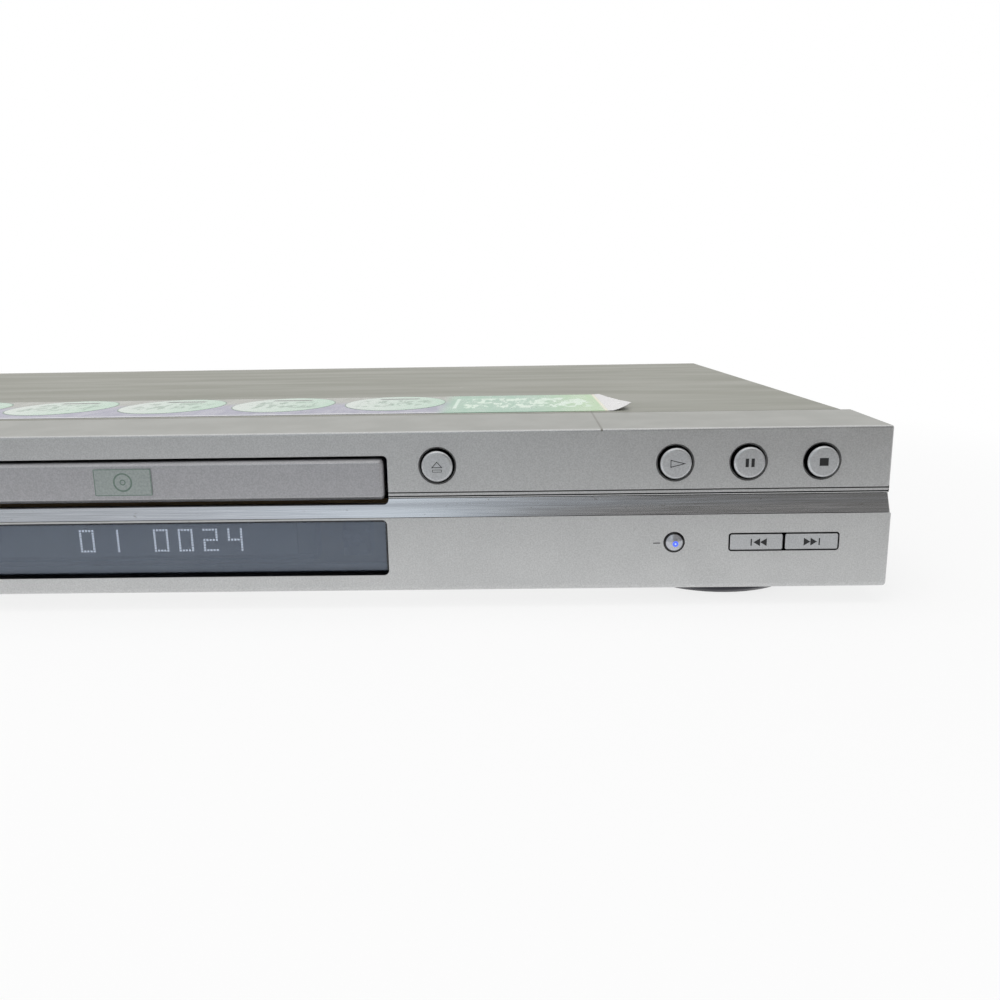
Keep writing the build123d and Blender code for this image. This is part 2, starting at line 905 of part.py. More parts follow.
def rear_screw_places():
    """(X, height) of the screws on the rear panel."""
    half = inlet_flange_width / 2 + screw_head * 2
    low = [(x, inlet_height) for x in rear_screw_x]
    return low + [(inlet_x - half, inlet_height), (inlet_x + half, inlet_height)]


def rear_plate():
    """Rear panel, with the socket holes and a field of vents."""
    half = pan_half - sheet - sheet_gap
    plate = block((-half, half), (rear_inner, rear_outer), (sheet, cover_top - sheet - sheet_gap))
    cut = (rear_inner - 1, rear_outer + 1)
    for x, height in rca_sockets():
        plate -= level(x, height, cut, collar_radius + sheet_gap)
    plate -= level(svideo_x, svideo_height, cut, svideo_radius + sheet_gap)
    inlet_half = inlet_flange_width / 2 - inlet_hole_rim
    inlet_rise = inlet_flange_height / 2 - inlet_hole_rim
    inlet_heights = (inlet_height - inlet_rise, inlet_height + inlet_rise)
    plate -= block((inlet_x - inlet_half, inlet_x + inlet_half), cut, inlet_heights)
    for x, height in rear_screw_places():
        plate -= screw_y(x, height, rear_outer, gap=screw_shank_gap)[1]
    for x, height in cover_rear_screws():
        plate -= screw_y(x, height, cabinet_depth, gap=screw_shank_gap)[1]
    for index in range(vent_count):
        x = power_board_side - index * vent_pitch
        x_span = (x - vent_width / 2, x + vent_width / 2)
        plate -= block(x_span, cut, (vent_low, vent_low + vent_length / 2))
    return plate


def rear_screws():
    """Screws that hold the sockets and the inlet to the rear panel."""
    pairs = [screw_y(x, height, rear_outer) for x, height in rear_screw_places()]
    return group([head + shank for head, shank in pairs])


def phono_insert(x, height):
    """Plastic of a phono socket: block behind the panel, coloured collar and centre core."""
    half = socket_block / 2
    bottom = board_height if height < socket_block + board_height + half else height - half
    behind = block((x - half, x + half), (rear_inner - socket_block, rear_inner), (bottom, height + half))
    collar = level(x, height, (rear_inner, rear_outer + collar_proud), collar_radius)
    groove_depths = (rear_inner, rear_outer + collar_proud + 1)
    collar -= level(x, height, groove_depths, barrel_radius + barrel_foot)
    core_end = rear_outer + barrel_reach - core_recess
    core = level(x, height, (rear_inner, core_end), barrel_radius - barrel_wall)
    core -= level(x, height, (rear_outer, core_end + 1), pin_hole)
    return behind + collar + core


def phono_inserts(places):
    """The plastic of every phono socket of one colour."""
    return group([phono_insert(x, height) for x, height in places])


def phono_shells():
    """Metal barrels of the phono sockets, each with a wider foot inside its collar."""
    made = []
    for x, height in rca_sockets():
        barrel = level(x, height, (rear_inner, rear_outer + barrel_reach), barrel_radius)
        foot_depths = (rear_inner, rear_outer + collar_proud)
        barrel += level(x, height, foot_depths, barrel_radius + barrel_foot)
        made.append(barrel - level(x, height, (0, overall_depth + 1), barrel_radius - barrel_wall))
    return group(made)


def svideo():
    """Round four-pin video socket."""
    half = socket_block / 2
    depths = (rear_inner - socket_block, rear_inner)
    body = block((svideo_x - half, svideo_x + half), depths, (board_height, svideo_height + half))
    body += level(svideo_x, svideo_height, (rear_inner, rear_outer + collar_proud), svideo_radius)
    return body - level(svideo_x, svideo_height, (rear_inner - half, overall_depth), svideo_bore)


def inlet():
    """Mains inlet for a two-pin lead: flange, body, two-lobed cavity and its pins."""
    half = inlet_flange_width / 2
    rise = inlet_flange_height / 2
    flange = block(
        (inlet_x - half, inlet_x + half),
        (rear_outer, rear_outer + collar_proud),
        (inlet_height - rise, inlet_height + rise),
    )
    body = block(
        (inlet_x - half + inlet_rim, inlet_x + half - inlet_rim),
        (rear_outer - inlet_depth - inlet_back, rear_outer),
        (inlet_height - rise + inlet_rim, inlet_height + rise - inlet_rim),
    )
    cavity_depths = (rear_outer - inlet_depth, rear_outer + inlet_back)
    lobe = inlet_tall / 2
    reach = inlet_width / 2 - lobe
    cavity = level(inlet_x - reach, inlet_height, cavity_depths, lobe)
    cavity += level(inlet_x + reach, inlet_height, cavity_depths, lobe)
    cavity_heights = (inlet_height - lobe, inlet_height + lobe)
    cavity += block((inlet_x - reach, inlet_x + reach), cavity_depths, cavity_heights)
    shape = flange + body - cavity
    for side in (-1, 1):
        pin_x = inlet_x + side * inlet_pin_pitch / 2
        pin_depths = (rear_outer - inlet_depth, rear_outer - inlet_pin_recess)
        shape += level(pin_x, inlet_height, pin_depths, inlet_pin_radius)
    return shape


def involute(base, radius):
    """Angle that an involute has turned when it reaches a radius."""
    if radius <= base:
        return 0.0
    roll = math.sqrt((radius / base) ** 2 - 1)
    return roll - math.atan(roll)


def gear_blank(teeth, first_tooth):
    """Flat outline of a spur gear; first_tooth is the direction of a tooth, in radians."""
    pitch = gear_module * teeth / 2
    base = pitch * math.cos(pressure_angle)
    tip = pitch + addendum_share * gear_module
    root = pitch - dedendum_share * gear_module
    half_tooth = math.pi / (2 * teeth) - backlash / (2 * pitch)
    radii = [root, max(base, root), (max(base, root) + pitch) / 2, pitch, (pitch + tip) / 2, tip]
    flank = [(r, half_tooth + involute(base, pitch) - involute(base, r)) for r in radii]
    points = []
    for index in range(teeth):
        centre = first_tooth + index * 2 * math.pi / teeth
        points += [(r, centre - angle) for r, angle in flank]
        points += [(r, centre + angle) for r, angle in reversed(flank)]
    return Polygon(*[(r * math.cos(a), r * math.sin(a)) for r, a in points], align=None)


def drive_gear_piece():
    """Large gear that meshes with the tray's rack."""
    blank = extrude(gear_blank(drive_teeth, math.pi), amount=gear_thickness, dir=(0, 0, 1))
    gear = Pos(drive_gear_x, back(drive_gear_depth), up(gear_low)) * blank
    return gear - upright(drive_gear_x, drive_gear_depth, (0, panel_height), gear_post + running_gap)


def pulley_gear_piece():
    """Belt pulley and pinion in one moulding; the pinion meshes with the large gear."""
    toward_gear = math.pi - tooth_step
    half_pitch = math.pi / pinion_teeth
    blank = gear_blank(pinion_teeth, toward_gear + half_pitch)
    pinion = extrude(blank, amount=gear_thickness, dir=(0, 0, 1))
    gear = Pos(pulley_x, back(pulley_depth), up(gear_low)) * pinion
    wheel_span = (pulley_low, pulley_low + pulley_thickness)
    gear += upright(pulley_x, pulley_depth, wheel_span, pulley_radius)
    hub_radius = pinion_radius - gear_module * dedendum_share
    gear += upright(pulley_x, pulley_depth, (wheel_span[1], gear_low), hub_radius)
    gear -= belt_groove_ring(pulley_x, pulley_depth, pulley_radius)
    return gear - upright(pulley_x, pulley_depth, (0, panel_height), pulley_post + running_gap)


def belt_groove_ring(x, depth, radius):
    """Groove of a belt pulley, as a solid to cut away."""
    middle = pulley_low + pulley_thickness / 2
    half = belt_size / 2 + belt_gap
    span = (middle - half, middle + half)
    return upright(x, depth, span, radius + 1) - upright(x, depth, span, radius - belt_groove)


def motor_pulley_piece():
    """Small pulley on the loading motor's shaft."""
    span = (pulley_low, pulley_low + pulley_thickness)
    pulley = upright(motor_x, motor_depth, span, motor_pulley_radius)
    pulley -= belt_groove_ring(motor_x, motor_depth, motor_pulley_radius)
    return pulley - upright(motor_x, motor_depth, (0, panel_height), motor_shaft + running_gap)


def belt():
    """Rubber belt round both pulleys."""
    inner_big = pulley_radius - belt_groove + belt_gap
    inner_small = motor_pulley_radius - belt_groove + belt_gap
    loops = []
    for grow in (belt_size, 0.0):
        big = Pos(pulley_x, back(pulley_depth)) * Circle(inner_big + grow)
        small = Pos(motor_x, back(motor_depth)) * Circle(inner_small + grow)
        loops.append(make_hull(big.edges() + small.edges()))
    middle = pulley_low + pulley_thickness / 2
    ring = extrude(loops[0] - loops[1], amount=belt_size, dir=(0, 0, 1))
    return Pos(0, 0, up(middle - belt_size / 2)) * ring


def tray_rack():
    """Rack under the tray's left side, long enough for the whole travel."""
    pitch = math.pi * gear_module
    tip_x = rack_pitch_x + addendum_share * gear_module
    root_x = rack_pitch_x - dedendum_share * gear_module
    half_tooth = pitch / 4 - backlash / 2
    lean = math.tan(pressure_angle)
    half_tip = half_tooth - lean * addendum_share * gear_module
    half_root = half_tooth + lean * dedendum_share * gear_module
    before = 3
    after = math.ceil(tray_travel / pitch) + 3
    start = drive_gear_depth - (before + 0.5) * pitch
    points = [(root_x - rack_width, start - pitch / 2)]
    for index in range(before + after + 1):
        centre = start + index * pitch
        points += [(root_x, centre - half_root), (tip_x, centre - half_tip)]
        points += [(tip_x, centre + half_tip), (root_x, centre + half_root)]
    points.append((root_x - rack_width, start + (before + after + 0.5) * pitch))
    outline = [(x, back(depth)) for x, depth in points]
    low = gear_low - rack_drop
    bar = extrude(Polygon(*outline, align=None), amount=tray_floor_low - low, dir=(0, 0, 1))
    return Pos(0, 0, up(low)) * bar


def tray():
    """Disc tray: rim, wells for both disc sizes, centre slot open to the rear, and rack."""
    skirt_inner = tray_half_width - tray_skirt
    body = block((-tray_half_width, tray_half_width), (tray_front, tray_rear), (tray_low, tray_high))
    body = fillet(body.edges().filter_by(Axis.Z).group_by(Axis.Y)[-1], tray_skirt)
    body -= block(
        (-skirt_inner, skirt_inner),
        (tray_front + tray_skin, tray_rear + 1),
        (tray_low - 1, tray_floor_low),
    )
    thin = block(
        (-tray_half_width + tray_skin, tray_half_width - tray_skin),
        (tray_front + tray_skin, tray_rear - tray_skin),
        (tray_floor_low - 1, tray_high - tray_skin),
    )
    thin -= upright(0, hub_depth, (0, tray_high + 1), well_radius + tray_skin)
    ledge = slot_half_width + tray_skin
    thin -= block((-ledge, ledge), (hub_depth, tray_rear + 1), (0, tray_high + 1))
    thin -= mirrored_blocks((skirt_inner, tray_half_width), (0, tray_rear + 1), (0, tray_floor_low))
    body -= thin
    body -= upright(0, hub_depth, (tray_well_floor, tray_high + 1), well_radius)
    small_radius = small_disc_radius + well_clearance
    body -= upright(0, hub_depth, (tray_small_well_floor, tray_high + 1), small_radius)
    for side in (-1, 1):
        body -= upright(side * disc_radius, hub_depth, (scallop_floor, tray_high + 1), scallop_radius)
    body -= upright(0, hub_depth, (0, tray_high + 1), slot_half_width)
    body -= block((-slot_half_width, slot_half_width), (hub_depth, tray_rear + 1), (0, tray_high + 1))
    return body + tray_rack()


def loader():
    """Loader frame: floor, side walls with ledges and tabs, gear deck, cross wall and pivots."""
    depths = (loader_front, loader_rear)
    frame = block((-loader_outer, loader_outer), depths, (loader_low, loader_low + loader_plate))
    frame -= block((-floor_cut_half, floor_cut_half), (floor_cut_front, floor_cut_rear), (0, deck_low))
    frame += mirrored_blocks((loader_inner, loader_outer), depths, (loader_low, loader_top))
    frame += block((-loader_outer, loader_outer), (loader_front, deck_rear), (deck_low, deck_high))
    wall_front = deck_rear - loader_plate
    frame += block((-loader_outer, loader_outer), (wall_front, deck_rear), (loader_low, deck_high))
    ledge_high = tray_low - ledge_gap
    ledge = (tray_half_width - tray_skirt + 1, loader_outer)
    frame += mirrored_blocks(ledge, depths, (ledge_high - ledge_thickness, ledge_high))
    tab_low = tray_high + tab_gap
    for depth in (loader_front + tab_front_gap, loader_rear - tab_length - tab_rear_gap):
        tab_span = (loader_inner - tab_reach, loader_outer)
        frame += mirrored_blocks(tab_span, (depth, depth + tab_length), (tab_low, loader_top))
    cam_shelf = (cam_low - ledge_gap - loader_plate, cam_low - ledge_gap)
    shelf_half = cam_half_width + cam_travel + cam_end_cut
    frame += block((-shelf_half, shelf_half), (deck_rear - 1, deck_rear + cam_ledge), cam_shelf)
    bracket_inner = traverse_half_width + bracket_gap
    bracket = (bracket_inner, bracket_inner + bracket_thickness)
    reach = pivot_radius + bracket_rim
    bracket_depths = (pivot_depth - reach, pivot_depth + reach)
    frame += mirrored_blocks(bracket, bracket_depths, (loader_low, pivot_height + reach))
    bore_span = (-loader_inner + 1, loader_inner - 1)
    frame -= crosswise(bore_span, pivot_depth, pivot_height, pivot_radius + running_gap)
    for x, depth in loader_lugs():
        side = math.copysign(1, x)
        x_span = sorted((side * loader_inner, side * (loader_outer + lug_reach)))
        lug_depths = (depth - lug_size / 2, depth + lug_size / 2)
        frame += block(x_span, lug_depths, (loader_low, loader_low + loader_plate))
        frame -= screw_z(x, depth, loader_low + loader_plate, 1, gap=screw_shank_gap)[1]
    frame += upright(drive_gear_x, drive_gear_depth, (deck_high, gear_low - turntable_gap), gear_post_boss)
    frame += upright(drive_gear_x, drive_gear_depth, (deck_high, gear_low + gear_thickness), gear_post)
    frame += upright(pulley_x, pulley_depth, (deck_high, gear_low + gear_thickness), pulley_post)
    frame -= upright(motor_x, motor_depth, (deck_low - 1, deck_high + 1), motor_shaft + screw_shank_gap * 3)
    for x, depth in bridge_screws():
        hole = (loader_top - screw_length, loader_top + 1)
        frame -= upright(x, depth, hole, bridge_peg + screw_shank_gap)
    return frame


def bridge_screws():
    """(X, depth) of the pins that hold the clamp bridge to the loader's walls."""
    x = loader_inner + loader_wall / 2
    reach = bridge_half_depth - screw_head * 1.5
    return [(side * x, hub_depth + along * reach) for side in (-1, 1) for along in (-1, 1)]


def bridge():
    """Clamp bridge across the loader, with the hole for the clamper and four fixing pegs."""
    depths = (hub_depth - bridge_half_depth, hub_depth + bridge_half_depth)
    plate = block((-loader_outer, loader_outer), depths, (loader_top, bridge_top))
    plate -= upright(0, hub_depth, (loader_top - 1, bridge_top + 1), clamper_radius + clamper_hole_gap)
    for rib_front in (depths[0], depths[1] - bridge_thickness):
        rib_depths = (rib_front, rib_front + bridge_thickness)
        rib_heights = (bridge_top, bridge_top + bridge_thickness)
        plate += block((-loader_outer, loader_outer), rib_depths, rib_heights)
    for x, depth in bridge_screws():
        plate += upright(x, depth, (loader_top - screw_length + 1, loader_top), bridge_peg)
    return plate


def loading_motor_piece():
    """Loading motor under the deck, with its shaft through it."""
    body = upright(motor_x, motor_depth, (deck_low - loading_motor_length, deck_low), loading_motor_radius)
    body = fillet(body.edges().group_by(Axis.Z)[0], motor_shaft)
    return body + upright(motor_x, motor_depth, (deck_low, pulley_low + pulley_thickness), motor_shaft)


def cam_drop():
    """How far the traverse's front pin comes down."""
    return (pivot_depth - cam_front) * math.sin(math.radians(traverse_drop_deg))


def cam():
    """Cam slider: a plate with the slanted slot that lets the traverse down."""
    x_span = (-cam_half_width, cam_half_width - cam_end_cut)
    plate = block(x_span, (cam_front, cam_rear), (cam_low, cam_high))
    radius = cam_pin_radius + cam_slot_gap
    low_end = (-cam_travel, cam_pin_height - cam_drop())
    cut = level(0, cam_pin_height, (cam_front - 1, cam_rear + 1), radius)
    cut += level(*low_end, (cam_front - 1, cam_rear + 1), radius)
    length = math.hypot(cam_travel, cam_drop())
    slope = math.degrees(math.atan2(cam_drop(), cam_travel))
    middle = Pos(-cam_travel / 2, back((cam_front + cam_rear) / 2), up(cam_pin_height - cam_drop() / 2))
    cut += middle * Rot(0, -slope, 0) * Box(length, cam_thickness + 2, 2 * radius)
    return plate - cut


def traverse():
    """Traverse frame: plate with skirts, windows, rod carriers, pivot pins and the cam pin."""
    depths = (traverse_front, traverse_rear)
    half = traverse_half_width
    plate_high = traverse_plate_low + traverse_plate
    frame = block((-half, half), depths, (traverse_skirt_low, plate_high))
    wall = traverse_wall
    hollow_depths = (depths[0] + wall, depths[1] - wall)
    frame -= block((-half + wall, half - wall), hollow_depths, (0, traverse_plate_low))
    window_half = sled_half_width + sled_window_gap
    frame -= block((-window_half, window_half), (rod_front + wall, rod_rear), (0, plate_high + 1))
    motor_half = feed_motor_radius + feed_motor_gap
    motor_depths = (rod_rear + wall + 1, depths[1] - wall)
    frame -= block((screw_x - motor_half, half - wall), motor_depths, (0, plate_high + 1))
    carrier_span = (rod_x - rod_wall - 1, half - wall)
    carrier_heights = (rod_height - rod_wall, traverse_plate_low)
    for depth_span in ((rod_front - 1, rod_front + wall), (rod_rear, rod_rear + wall + 1)):
        frame += mirrored_blocks(carrier_span, depth_span, carrier_heights)
    for side in (-1, 1):
        rod_span = (rod_front - 1 - running_gap, rod_rear + wall + 1 + running_gap)
        frame -= level(side * rod_x, rod_height, rod_span, rod_radius)
    bearing_depths = (rod_front - running_gap, rod_rear + wall + 2)
    frame -= level(screw_x, rod_height, bearing_depths, feed_screw_radius + running_gap)
    pin_end = traverse_half_width + pivot_length
    frame += mirrored_pins(pin_end)
    frame += level(0, cam_pin_height, (cam_front + cam_gap, traverse_front + wall), cam_pin_radius)
    frame -= upright(0, hub_depth, (traverse_plate_low - 1, plate_high + 1), spindle_shaft * 2)
    return frame


def mirrored_pins(end):
    """The traverse's pivot pins, one on each side."""
    start = traverse_half_width - traverse_wall / 2
    right = crosswise((start, end), pivot_depth, pivot_height, pivot_radius)
    return right + crosswise((-end, -start), pivot_depth, pivot_height, pivot_radius)


def spindle_motor_piece():
    """Flat spindle motor on the traverse, with its shaft."""
    low = traverse_plate_low + traverse_plate
    body = upright(0, hub_depth, (low, turntable_low - turntable_gap), spindle_motor_radius)
    return body + upright(0, hub_depth, (low, turntable_high), spindle_shaft)


def guide_rods():
    """The two steel rods that the sled slides on."""
    span = (rod_front - 1, rod_rear + traverse_wall + 1)
    return group([level(side * rod_x, rod_height, span, rod_radius) for side in (-1, 1)])


def feed_motor_piece():
    """Feed motor behind the rear rod carrier."""
    front = rod_rear + traverse_wall + 1
    return level(screw_x, rod_height, (front, front + feed_motor_length), feed_motor_radius)


def feed_screw_piece():
    """Feed screw from the front carrier through the rear one to the feed motor."""
    rear = rod_rear + traverse_wall + 1 - turntable_gap
    return level(screw_x, rod_height, (rod_front, rear), feed_screw_radius)


def turntable_piece():
    """Turntable with the cone that centres the disc."""
    plate = upright(0, hub_depth, (turntable_low, turntable_high), turntable_radius)
    cone_top = turntable_high + cone_height
    cone = upright(0, hub_depth, (turntable_high, cone_top), cone_radius)
    cone = chamfer(cone.edges().group_by(Axis.Z)[-1], cone_height / 2)
    return plate + cone - upright(0, hub_depth, (0, turntable_high), spindle_shaft + running_gap)


def clamper_piece():
    """Clamper: a puck through the bridge's hole, hung on its flange."""
    puck = upright(0, hub_depth, (clamper_low, bridge_top + turntable_gap), clamper_radius)
    puck = chamfer(puck.edges().group_by(Axis.Z)[0], cone_height / 2)
    flange_low = bridge_top + turntable_gap
    flange_span = (flange_low, flange_low + clamper_flange_thickness)
    return puck + upright(0, hub_depth, flange_span, clamper_radius + clamper_flange)


def sled():
    """Pickup sled: main block, ears on the guide rods and the follower at the feed screw."""
    middle = hub_depth + sled_start
    depths = (middle - sled_front_reach, middle + sled_rear_reach)
    body = block((-sled_half_width, sled_half_width), depths, (sled_low, sled_high))
    ear_out = rod_x + rod_radius + 2
    body += block((-ear_out, ear_out), depths, (sled_low, sled_ear_high))
    follower_end = screw_x - feed_screw_radius - turntable_gap
    rear = (depths[1] - follower_length, depths[1])
    heights = (rod_height - follower_half_height, rod_height + follower_half_height)
    body += block((0, follower_end), rear, heights)
    for side in (-1, 1):
        body -= level(side * rod_x, rod_height, (0, overall_depth), rod_radius + rod_clearance)
    return body


def lens():
    """Objective lens in its holder."""
    holder = upright(0, hub_depth + sled_start, (sled_high, lens_high), lens_radius)
    dome = Pos(0, back(hub_depth + sled_start), up(lens_high)) * Sphere(lens_radius * 0.6)
    dome &= upright(0, hub_depth + sled_start, (0, lens_high), lens_radius)
    return chamfer((holder + dome).edges().group_by(Axis.Z)[-1], lens_radius * 0.2)


def main_circuit():
    """Main board: a wide part at the left and a strip along the rear sockets."""
    rear = rear_inner - rear_board_gap
    heights = (board_low, board_height)
    board = block((main_board_left, -main_board_side), (main_board_front, rear), heights)
    strip_depths = (main_board_rear_strip, rear_inner - strip_rear_gap)
    board += block((main_board_left, -main_board_strip_side), strip_depths, heights)
    for x, depth in main_board_posts():
        board -= screw_z(x, depth, board_height, 1, gap=screw_shank_gap)[1]
    return board


def power_circuit():
    """Power board at the right."""
    rear = rear_inner - rear_board_gap - power_board_rear_cut
    spans = ((power_board_side, power_board_right), (power_board_front, rear))
    board = block(*spans, (board_low, board_height))
    for x, depth in power_board_posts():
        board -= screw_z(x, depth, board_height, 1, gap=screw_shank_gap)[1]
    return board


def part_on_board(x, depth, size):
    """Block-shaped part that stands on a board, given by its middle and (width, length, height)."""
    width, length, height = size
    spans = ((x - width / 2, x + width / 2), (depth - length / 2, depth + length / 2))
    return block(*spans, (board_height, board_height + height))


def chips():
    """Integrated circuits and the ribbon connector on the main board."""
    middle = (main_board_left - main_board_side) / 2
    near = main_board_front + processor_gap
    made = [
        part_on_board(middle, near, processor_size),
        part_on_board(middle - memory_side, near, memory_size),
        part_on_board(middle - memory_side, near + memory_pitch, memory_size),
        part_on_board(middle + driver_side, main_board_front + driver_gap, driver_size),
        part_on_board(middle - connector_side, main_board_front + connector_gap, connector_size),
    ]
    return group(made)


def transformer_piece():
    """Switching transformer: ferrite core round a wound bobbin."""
    x = (power_board_side + pan_half) / 2 - transformer_side
    depth = power_board_front + transformer_gap
    return part_on_board(x, depth, bobbin_size) + part_on_board(x, depth, core_size)


def capacitor_cans():
    """Electrolytic capacitors of the power board; can_row gives (side, along, radius, height)."""
    made = []
    for side, along, radius, height in can_row:
        place = (power_board_side + can_side + side, power_board_front + can_gap + along)
        can = upright(*place, (board_height, board_height + height), radius)
        made.append(fillet(can.edges().group_by(Axis.Z)[-1], radius * can_rim_share))
    return group(made)


def heat_sink_piece():
    """Finned heat sink of the power transistor."""
    x = power_board_right - sink_side
    depth = power_board_front + transformer_gap
    sink = part_on_board(x, depth, (sink_plate, sink_length, sink_height))
    fin_x = x + sink_plate / 2 + sink_fin_reach / 2
    first = depth - (sink_fin_count - 1) * sink_fin_pitch / 2
    for index in range(sink_fin_count):
        fin_depth = first + index * sink_fin_pitch
        sink += part_on_board(fin_x, fin_depth, (sink_fin_reach, sink_fin, sink_height))
    return sink


def ribbons():
    """Flat cables: front board to main board, and front board to power board."""
    front = front_board_depth + board_thickness
    top = front_board_step - ribbon_drop
    plug_top = board_height + ribbon_plug
    ends = (
        (-main_board_side - ribbon_side_gap, main_board_front + main_ribbon_gap),
        (power_board_side + ribbon_side_gap, power_board_front + power_ribbon_gap),
    )
    made = []
    for x, rear in ends:
        points = [
            (front, top),
            (rear - ribbon_slope, top),
            (rear, plug_top),
            (rear, board_height),
            (rear + ribbon_thickness, board_height),
            (rear + ribbon_thickness, plug_top),
            (rear - ribbon_slope + ribbon_thickness, top + ribbon_thickness),
            (front, top + ribbon_thickness),
        ]
        made.append(profile(points, (x - ribbon_width / 2, x + ribbon_width / 2)))
    return group(made)


def label():
    """Label on the cover, flat but for its right front corner, which has come loose."""
    heights = (cover_top, cover_top + label_thickness)
    sheet_piece = block((label_low_x, label_high_x), (label_front, label_rear), heights)
    low, high = [], []
    for index in range(curl_steps + 1):
        share = index / curl_steps
        x = label_high_x + share * curl_width
        rise = cover_top + curl_lift * share ** 2
        low.append((x, up(rise)))
        high.append((x, up(rise + label_thickness)))
    face = Plane.XZ * Polygon(*low, *reversed(high), align=None)
    curl = extrude(Pos(0, back(label_rear), 0) * face, amount=label_rear - label_front, dir=(0, -1, 0))
    corner = [
        (label_high_x - 1, back(label_front) - 1),
        (label_high_x - 1, back(label_rear) + 1),
        (label_high_x + curl_width * 0.25, back(label_rear) + 1),
        (label_high_x + curl_width, back(label_front) + curl_width * 0.6),
        (label_high_x + 0.5, back(label_front) - 1),
    ]
    keep = extrude(Polygon(*corner, align=None), amount=up(cover_top) + 2 * curl_lift, dir=(0, 0, 1))
    return sheet_piece + (curl & keep)


pieces = {
    "top_cover": cover(),
    "feature_label": label(),
    "chassis_pan": chassis(),
    "rear_panel": rear_plate(),
    "front_panel": front_panel(),
    "trim_band": trim_strip(),
    "display_window": window(),
    "feet": feet(),
    "cover_screws": cover_screws(),
    "rear_screws": rear_screws(),
    "chassis_screws": chassis_screws(),
    "loader_frame": loader(),
    "clamp_bridge": bridge(),
    "loading_motor": loading_motor_piece(),
    "drive_belt": belt(),
    "disc_tray": tray(),
    "tray_door": tray_door_piece(),
    "door_badge": door_plate(),
    "drive_gear": drive_gear_piece(),
    "pulley_gear": pulley_gear_piece(),
    "motor_pulley": motor_pulley_piece(),
    "cam_slider": cam(),
    "traverse_frame": traverse(),
    "spindle_motor": spindle_motor_piece(),
    "guide_rods": guide_rods(),
    "feed_motor": feed_motor_piece(),
    "feed_screw": feed_screw_piece(),
    "turntable": turntable_piece(),
    "clamper": clamper_piece(),
    "pickup_sled": sled(),
    "objective_lens": lens(),
    "main_board": main_circuit(),
    "main_board_chips": chips(),
    "power_board": power_circuit(),
    "transformer": transformer_piece(),
    "capacitors": capacitor_cans(),
    "heat_sink": heat_sink_piece(),
    "ribbon_cables": ribbons(),
    "phono_shells": phono_shells(),
    "phono_inserts_white": phono_inserts(rca_white),
    "phono_inserts_red": phono_inserts(rca_red),
    "phono_inserts_yellow": phono_inserts(rca_yellow),
    "phono_inserts_green": phono_inserts(rca_green),
    "phono_inserts_blue": phono_inserts(rca_blue),
    "phono_inserts_orange": phono_inserts(rca_orange),
    "svideo_socket": svideo(),
    "mains_inlet": inlet(),
    "front_board": front_circuit(),
    "tact_switches": switches(),
    "display_tube": display(),
    "remote_receiver": receiver(),
    "lamp_lens": lamp_lens(),
    "lamp_diode": lamp_diode(),
    "power_button": round_button(power_x),
    "eject_button": round_button(eject_x),
    "play_button": round_button(play_x),
    "pause_button": round_button(pause_x),
    "stop_button": round_button(stop_x),
    "previous_key": skip_key(key_middles()[0], -1),
    "next_key": skip_key(key_middles()[1], 1),
}

os.makedirs("parts", exist_ok=True)
for name, shape in pieces.items():
    export_step(shape, f"parts/{name}.step")
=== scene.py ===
import bpy
import json
import math
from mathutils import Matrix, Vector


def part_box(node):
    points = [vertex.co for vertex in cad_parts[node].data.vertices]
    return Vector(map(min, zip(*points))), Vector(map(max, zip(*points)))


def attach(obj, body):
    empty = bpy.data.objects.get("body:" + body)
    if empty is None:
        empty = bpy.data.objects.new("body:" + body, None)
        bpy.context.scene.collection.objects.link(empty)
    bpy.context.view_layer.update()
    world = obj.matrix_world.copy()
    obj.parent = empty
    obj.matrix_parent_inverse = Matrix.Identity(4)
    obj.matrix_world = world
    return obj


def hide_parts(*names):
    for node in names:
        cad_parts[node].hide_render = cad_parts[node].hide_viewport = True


# A full-width silver disc player with a motor-driven tray, seen from the front right and a little
# from above. The CAD frame gives every place; this script gives every surface its finish and adds
# the prints, the lit digits and the fine edges. Metres, +X right, +Y back, +Z up.
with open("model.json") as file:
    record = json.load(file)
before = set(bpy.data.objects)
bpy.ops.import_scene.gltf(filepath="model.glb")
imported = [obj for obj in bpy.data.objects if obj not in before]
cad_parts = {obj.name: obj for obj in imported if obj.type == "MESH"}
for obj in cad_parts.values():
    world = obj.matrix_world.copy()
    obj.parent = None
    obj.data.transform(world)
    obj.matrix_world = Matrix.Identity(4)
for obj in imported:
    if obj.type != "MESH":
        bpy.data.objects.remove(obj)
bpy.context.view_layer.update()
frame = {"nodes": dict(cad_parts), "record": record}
MM = 0.001


# Camera. The photograph was taken close to the player's front, right of its middle, with the
# player's left end outside the view.
camera_data = bpy.data.cameras.new("photo_camera")
camera_data.lens = 31.374
camera_data.sensor_width = 36
camera = bpy.data.objects.new("photo_camera", camera_data)
bpy.context.collection.objects.link(camera)
camera.location = (110.52 * MM, -370.89 * MM, 83.93 * MM)
camera.rotation_euler = [math.radians(angle) for angle in (77.5243, 0.8923, 0.8510)]
bpy.context.scene.camera = camera
bpy.context.scene.view_settings.view_transform = "Standard"


# Studio room. White for the camera, pale behind the player, bright overhead, and darker in front
# at the right, which is what the brushed strip and the painted faces mirror.
def arithmetic(nodes, links, kind, *values):
    """One step of arithmetic on shader values; sockets are linked and numbers are set."""
    step = nodes.new("ShaderNodeMath")
    step.operation = kind
    for index, value in enumerate(values):
        if isinstance(value, (int, float)):
            step.inputs[index].default_value = value
        else:
            links.new(value, step.inputs[index])
    return step.outputs[0]


